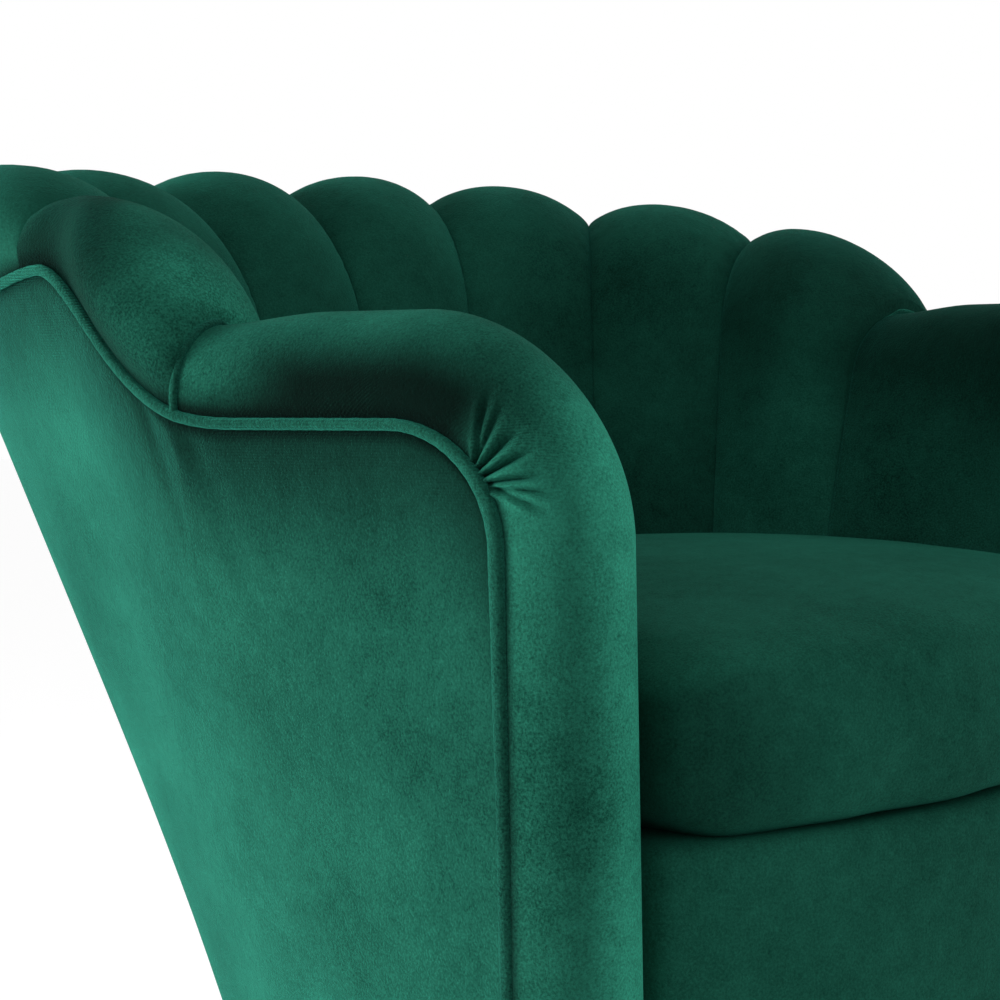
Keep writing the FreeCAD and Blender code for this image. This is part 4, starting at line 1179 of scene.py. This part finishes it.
class CHAIR_OT_welts(bpy.types.Operator):
    """Builds the cord round the outside and the short cords in the creases"""

    bl_idname = "chair.welts"
    bl_label = "Welts"

    def execute(self, context):
        form = context.scene.chair_form
        path = np.vstack([welt_path(-1)[:0:-1], welt_path(1)])
        length = run_lengths(path)[-1]
        path = resampled(path, int(length / WELT_STEP))
        places = np.linspace(0, length, len(path))
        front = graded(np.minimum(places, length - places), *WELT_FRONT)
        waves = places * 2 * math.pi / WELT_RIPPLE_PITCH
        ripple = WELT_RIPPLE * np.sin(waves + 2 * np.sin(places * WELT_RIPPLE_WANDER))
        radius = form.welt_radius * (1 + front + ripple)
        piece = tube("velvet_welt", path, radius, sides=WELT_SIDES)
        finish(piece, "chair", ["outer_welt"], velvet("welt"))
        taper = graded(np.linspace(0, 1, CREASE_WELT_POINTS), *CREASE_TAPER)
        for name, side in SIDES:
            path = resampled(crease_path(side, form), CREASE_WELT_POINTS)
            radius = form.crease_welt_radius * taper
            cord = tube(f"velvet_crease_welt_{name}", path, radius, sides=CREASE_WELT_SIDES)
            finish(cord, "chair", [], velvet("welt"))
        return {"FINISHED"}


def drag_folds(from_crease, below):
    """How far in the cover is drawn by the folds that hang from the welt's bend."""
    depth = 0.0
    for place, width, reach, strength in DRAG_FOLDS:
        across = np.exp(-(((from_crease - place + FOLD_SLANT * below) / width) ** 2))
        fade = level_start(below / FOLD_START) * np.exp(-np.maximum(below, 0) / reach)
        depth = depth + strength * across * fade
    return depth


def cover_top(station, form):
    """The height at which a cover goes in under the welt."""
    return station.welt_z - form.welt_radius * COVER_TUCK_SHARE


def cover_section(station, form, from_crease=1.0):
    """One section of an outside cover: its face, its hem and its inside."""
    top = cover_top(station, form)
    fine = np.linspace(top, top - FINE_LENGTH, FINE_ROWS, endpoint=False)
    heights = np.concatenate([fine, np.linspace(top - FINE_LENGTH, SKIRT_HEIGHT, COVER_ROWS)])
    share = (heights - SKIRT_HEIGHT) / (top - SKIRT_HEIGHT)
    swell = form.cover_fullness * np.sin(math.pi * share) ** COVER_SWELL_POWER
    edge = COVER_EDGE * np.exp(-(top - heights) / COVER_EDGE_LENGTH)
    insets = station.shell(heights) - swell + edge + drag_folds(from_crease, top - heights)
    low = (station.shell(SKIRT_HEIGHT), SKIRT_HEIGHT)
    back = (station.shell(top) + COVER_BACK_INSET, top)
    return np.vstack([np.stack([insets, heights], axis=1), np.add(low, HEM), back])


def lowered(section, station, drop, form):
    """A cover's section pressed down where the welt turns away from its top, its hem kept."""
    inset, height = section.T
    span = cover_top(station, form) - SKIRT_HEIGHT
    above_hem = height > SKIRT_HEIGHT + HEM_ROOM
    scale = np.where(above_hem, (span - drop) / span, 1)
    pressed = SKIRT_HEIGHT + (height - SKIRT_HEIGHT) * scale
    moved = np.where(above_hem, station.shell(pressed) - station.shell(height), 0)
    return np.stack([inset + moved, pressed], axis=1)


def cover_light_and_shade(grid):
    """Painted light and shade on an outside cover: darker under the welt, lighter to the hem."""
    below = grid[:, :1, 2] - grid[:, :, 2]
    shade = graded(below, *COVER_UPPER) + graded(below, *COVER_LOWER)
    return graded(below, *COVER_TUCK) * shade


def cover_piece(name, rings):
    """An outside cover from its rings of points."""
    grid = np.array(rings)
    piece = grid_piece(f"velvet_{name}", grid, shares=cover_light_and_shade(grid))
    return finish(piece, "chair", [f"outer_{name}"], velvet("cover"))


class CHAIR_OT_covers(bpy.types.Operator):
    """Builds the three outside covers"""

    bl_idname = "chair.covers"
    bl_label = "Outside covers"

    def execute(self, context):
        form = context.scene.chair_form
        reach = WELT_CORNER_RADIUS - form.welt_radius * COVER_TUCK_SHARE
        turned = reach * np.sin(np.linspace(0, math.pi / 2, TURN_COVER_RINGS))
        forwards = np.concatenate([arm_front_steps(), TURN_START + turned])
        start, end = COVER_SEAM + SEAM_GAP, WELT_CURVE.length
        distances = np.linspace(start, end, SIDE_COVER_RINGS, endpoint=False)
        for name, side in SIDES:
            rings = []
            for distance in map(float, distances):
                station = back_station(side * distance)
                section = cover_section(station, form, WELT_CURVE.length - distance)
                rings.append(station.place(*section.T))
            for forward in map(float, forwards):
                station = arm_station(forward, side)
                section = cover_section(station, form, -forward)
                past = max(forward - TURN_START, 0)
                drop = reach - math.sqrt(max(reach**2 - past**2, 0))
                rings.append(station.place(*lowered(section, station, drop, form).T))
            cover_piece(f"cover_{name}", rings)
        rings = []
        half = COVER_SEAM - SEAM_GAP
        for distance in map(float, np.linspace(-half, half, BACK_COVER_RINGS)):
            station = back_station(distance)
            rings.append(station.place(*cover_section(station, form).T))
        cover_piece("cover_back", rings)
        return {"FINISHED"}


# Cushion and border

CUSHION_CELL, CUSHION_ROUNDS, CUSHION_EASING = 0.006, 12, 24
BORDER_CELL, BORDER_ROUNDS = 0.004, 18
FILLING_PRESSURE = 3.0
FILLING_QUALITY = 6
FILLING_FRAMES = 20
# Painted shade on the cushion's sides: by how far they face up, and by length from the middle
CUSHION_FACING = (0.20, 0.65, 1, 0)
CUSHION_OUTWARD = (0.15, 0.14, 0, 1)
CUSHION_SHADE = 0.45


def node_copy(name, node):
    """A copy of a CAD solid under a name of its own."""
    piece = bpy.data.objects.new(name, frame["nodes"][node].data.copy())
    bpy.context.scene.collection.objects.link(piece)
    return piece


def baked(piece):
    """Applies a piece's modifiers to its mesh."""
    shown = bpy.context.evaluated_depsgraph_get()
    mesh = bpy.data.meshes.new_from_object(piece.evaluated_get(shown))
    piece.modifiers.clear()
    piece.data = mesh
    mesh.shade_smooth()
    return piece


def eased_by(piece, rounds):
    """Gives a piece a modifier that wears down its creases and edges."""
    ease = piece.modifiers.new("ease", "SMOOTH")
    ease.factor = 0.5
    ease.iterations = rounds


def remeshed(name, node, cell, rounds):
    """A softened copy of a CAD solid."""
    piece = node_copy(name, node)
    outward_faces(piece)
    cut = piece.modifiers.new("cells", "REMESH")
    cut.mode = "VOXEL"
    cut.voxel_size = cell
    eased_by(piece, rounds)
    return baked(piece)


def swollen(piece, most):
    """Fills a piece like a cushion, with every point kept near its start."""
    rest = np.array([vertex.co for vertex in piece.data.vertices])
    filling = piece.modifiers.new("filling", "CLOTH").settings
    filling.use_pressure = True
    filling.uniform_pressure_force = FILLING_PRESSURE
    filling.effector_weights.gravity = 0
    filling.quality = FILLING_QUALITY
    scene = bpy.context.scene
    for step in range(1, FILLING_FRAMES + 1):
        scene.frame_set(step)
    mesh = baked(piece).data
    scene.frame_set(1)
    moved = np.array([vertex.co for vertex in mesh.vertices]) - rest
    reach = np.linalg.norm(moved, axis=1)
    moved *= np.minimum(1, most / np.maximum(reach, HAIR))[:, None]
    mesh.vertices.foreach_set("co", (rest + moved).astype(np.float32).ravel())


class CHAIR_OT_cushion(bpy.types.Operator):
    """Builds the loose seat cushion and the padded front border"""

    bl_idname = "chair.cushion"
    bl_label = "Seat cushion"

    def execute(self, context):
        cushion = remeshed("velvet_cushion", "seat_cushion", CUSHION_CELL, CUSHION_ROUNDS)
        swollen(cushion, context.scene.chair_form.cushion_swell)
        eased_by(cushion, CUSHION_EASING)
        baked(cushion)
        finer = cushion.modifiers.new("finer", "SUBSURF")
        finer.levels = finer.render_levels = 1
        baked(cushion)
        upward = np.array([vertex.normal.z for vertex in cushion.data.vertices])
        outward = np.array([abs(vertex.co.x) for vertex in cushion.data.vertices])
        # Painted shade where the sides face away from the top, towards the arms
        beside = graded(upward, *CUSHION_FACING) * graded(outward, *CUSHION_OUTWARD)
        paint_light_and_shade(cushion.data, 1 - CUSHION_SHADE * beside)
        look = velvet("cushion")
        finish(cushion, "cushion", ["seat_cushion"], look)
        border = remeshed("velvet_border", "front_border", BORDER_CELL, BORDER_ROUNDS)
        paint_light_and_shade(border.data)
        finish(border, "chair", ["front_border"], look)
        return {"FINISHED"}


# Legs and frame

LEG_SIDES = 64
# A leg's radii by the share of its length, from the foot over its ferrules to the head
LEG_PROFILE = (
    (0.0, 0.0078), (0.0006, 0.0088), (0.004, 0.0090), (0.010, 0.0092), (0.011, 0.0086),
    (0.0125, 0.0086), (0.0135, 0.0095), (0.9, 0.0172), (0.93, 0.0176), (0.94, 0.0170),
    (0.95, 0.0170), (0.96, 0.0179), (1.0, 0.0180),
)
LEG_END_ROOM = 0.0005
STRAP_EDGE = 0.0005
# Sheets: their node, their name and what they rest on
SHEETS = (
    ("deck_cloth", "lining_deck", "deck_board"),
    ("dust_cover", "lining_dust", "front_rail"),
)
FRAME_LOOKS = {
    "frame_wood": sawn_wood,
    "plywood": plywood,
    "screw_steel": zinc_steel,
    "glide_plastic": glide_plastic,
    "webbing": strap_weave,
}


class CHAIR_OT_legs(bpy.types.Operator):
    """Builds the turned metal legs"""

    bl_idname = "chair.legs"
    bl_label = "Legs"

    def execute(self, context):
        turns = np.linspace(0, 2 * math.pi, LEG_SIDES, endpoint=False)
        circle = np.stack([np.cos(turns), np.sin(turns), np.zeros(LEG_SIDES)], axis=1)
        for place in ("front_left", "front_right", "back_left", "back_right"):
            node = f"leg_{place}"
            low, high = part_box(node)
            points = np.array([vertex.co for vertex in frame["nodes"][node].data.vertices])
            foot = points[points[:, 2] < low.z + LEG_END_ROOM].mean(axis=0)
            outer = points[points[:, 2] > high.z - LEG_END_ROOM]
            head = (outer.min(axis=0) + outer.max(axis=0)) / 2
            rings = []
            for share, radius in LEG_PROFILE:
                rings.append(foot + (head - foot) * share + circle * radius)
            piece = grid_piece(f"brass_{node}", np.array(rings))
            finish(piece, "chair", [node], brass())
        return {"FINISHED"}


class CHAIR_OT_frame(bpy.types.Operator):
    """Gives the frame its materials and lays its cloths and straps"""

    bl_idname = "chair.frame"
    bl_label = "Frame"

    def execute(self, context):
        for row in frame["record"]["subparts"]:
            look = FRAME_LOOKS.get(row["material_slot"])
            if look:
                data = frame["nodes"][row["node"]].data
                data.materials.clear()
                data.materials.append(look())
        for way in ("across", "along"):
            piece = node_copy(f"straps_{way}", f"webbing_{way}")
            rounded = piece.modifiers.new("edges", "BEVEL")
            rounded.width = STRAP_EDGE
            rounded.segments = 2
            finish(baked(piece), "chair", [f"webbing_{way}"], strap_weave())
        for node, name, support in SHEETS:
            piece = node_copy(name, node)
            outward_faces(piece)
            finish(piece, "chair", [node], black_cloth())
        return {"FINISHED"}


# Stage

FLOOR_REACH = 9
WHITE_SHARE = 0.62
WHITE_RAYS = ("Is Camera Ray", "Is Glossy Ray", "Is Transmission Ray")
# Lamps: name, place, aim, width and height
LAMPS = (
    ("key", (-2.6, -1.0, 2.3), (-0.2, 0, 0.5), 2.2, 1.6),
    ("fill", (2.1, -2.3, 1.5), (-0.1, -0.1, 0.45), 1.6, 1.4),
    ("side", (-2.2, 1.3, 0.6), (-0.4, 0.1, 0.35), 1.2, 1.2),
)
# The camera's place, and its turn, dip and roll in degrees
CAMERA_PLACE = (-1.323, -1.137, 0.640)
CAMERA_TURN = (48.05, 4.28, -1.19)
CAMERA_NEAREST = 0.05


def area_lamp(name, place, target, width, height, power):
    """A soft lamp turned towards a point."""
    lamp = bpy.data.lights.new(name, "AREA")
    lamp.shape = "RECTANGLE"
    lamp.size, lamp.size_y = width, height
    lamp.energy = power
    holder = bpy.data.objects.new(name, lamp)
    bpy.context.scene.collection.objects.link(holder)
    holder.location = place
    aim = Vector(target) - Vector(place)
    holder.rotation_euler = aim.to_track_quat("-Z", "Y").to_euler()


def pale_floor(glow_strength):
    """A floor that the camera and reflections see white outside the shadows."""
    pale = Finish("pale_floor")
    pale.set(Base_Color=(0.82, 0.82, 0.82, 1), Roughness=0.8)
    camera, glossy, through = (pale.node("ShaderNodeLightPath", output=ray) for ray in WHITE_RAYS)
    glow = pale.node("ShaderNodeEmission", inputs={"Strength": glow_strength})
    surface = Flow(pale, pale.surface.outputs[0])
    sockets = {"Fac": (camera + glossy + through) * WHITE_SHARE, 1: surface, 2: glow}
    mixed = pale.node("ShaderNodeMixShader", inputs=sockets)
    pale.feed(pale.tree.nodes["Material Output"].inputs["Surface"], mixed)
    return pale.holder


def white_room(strength):
    """A world of even light that the camera and reflections see white."""
    room = Shader(bpy.data.worlds.new("room"))
    back = room.tree.nodes["Background"]
    for ray in WHITE_RAYS:
        strength = room.node("ShaderNodeLightPath", output=ray).at_least(strength)
    room.feed(back.inputs["Color"], (1, 1, 1, 1))
    room.feed(back.inputs["Strength"], strength)
    return room.holder


def placed_camera(focal_length):
    """The camera, with its turn, dip and roll."""
    azimuth, dip, roll = map(math.radians, CAMERA_TURN)
    ahead = math.cos(dip)
    forward = Vector((math.sin(azimuth) * ahead, math.cos(azimuth) * ahead, -math.sin(dip)))
    level = Vector((math.cos(azimuth), -math.sin(azimuth), 0))
    upright = level.cross(forward)
    right = math.cos(roll) * level + math.sin(roll) * upright
    up = -math.sin(roll) * level + math.cos(roll) * upright
    lens = bpy.data.cameras.new("camera")
    lens.lens = focal_length
    lens.sensor_width = 36
    lens.clip_start = CAMERA_NEAREST
    camera = bpy.data.objects.new("camera", lens)
    bpy.context.scene.collection.objects.link(camera)
    turn = Matrix((right, up, -forward)).transposed()
    camera.matrix_world = Matrix.Translation(CAMERA_PLACE) @ turn.to_4x4()
    return camera


class CHAIR_OT_stage(bpy.types.Operator):
    """Sets the floor, the lamps and the camera"""

    bl_idname = "chair.stage"
    bl_label = "Stage"

    def execute(self, context):
        scene = context.scene
        light = scene.chair_stage
        far = FLOOR_REACH
        corners = [(-far, -far, 0), (far, -far, 0), (far, far, 0), (-far, far, 0)]
        floor = new_piece("floor", corners, [(0, 1, 2, 3)], smooth_faces=False)
        floor.data.materials.append(pale_floor(light.floor_glow))
        scene.world = white_room(light.world_strength)
        for name, place, target, width, height in LAMPS:
            power = getattr(light, f"{name}_power")
            area_lamp(f"{name}_lamp", place, target, width, height, power)
        scene.camera = placed_camera(light.lens)
        scene.view_settings.view_transform = "Standard"
        return {"FINISHED"}


STEPS = (
    CHAIR_OT_stage, CHAIR_OT_frame, CHAIR_OT_channels, CHAIR_OT_arms, CHAIR_OT_welts,
    CHAIR_OT_covers, CHAIR_OT_cushion, CHAIR_OT_legs,
)
GROUPS = (("chair_form", ChairForm), ("chair_finish", ChairFinish), ("chair_stage", ChairStage))


class CHAIR_PT_panel(bpy.types.Panel):
    """Lists the chair's sizes, finishes and steps"""

    bl_idname = "CHAIR_PT_panel"
    bl_label = "Scalloped Armchair"
    bl_space_type = "VIEW_3D"
    bl_region_type = "UI"
    bl_category = "Armchair"

    def draw(self, context):
        for group, kind in GROUPS:
            for prop in kind.__annotations__:
                self.layout.prop(getattr(context.scene, group), prop)
        for step in STEPS:
            self.layout.operator(step.bl_idname)


def register():
    """Registers the add-on's classes."""
    for _, kind in GROUPS:
        bpy.utils.register_class(kind)
    for kind in STEPS + (CHAIR_PT_panel,):
        bpy.utils.register_class(kind)
    for group, kind in GROUPS:
        setattr(bpy.types.Scene, group, PointerProperty(type=kind))


def unregister():
    """Takes the add-on's classes away."""
    for group, _ in GROUPS:
        delattr(bpy.types.Scene, group)
    for kind in (CHAIR_PT_panel,) + STEPS[::-1]:
        bpy.utils.unregister_class(kind)
    for _, kind in GROUPS[::-1]:
        bpy.utils.unregister_class(kind)


def main():
    """Builds the whole chair."""
    register()
    for step in STEPS:
        group, name = step.bl_idname.split(".")
        getattr(getattr(bpy.ops, group), name)()


if __name__ == "__main__":
    main()
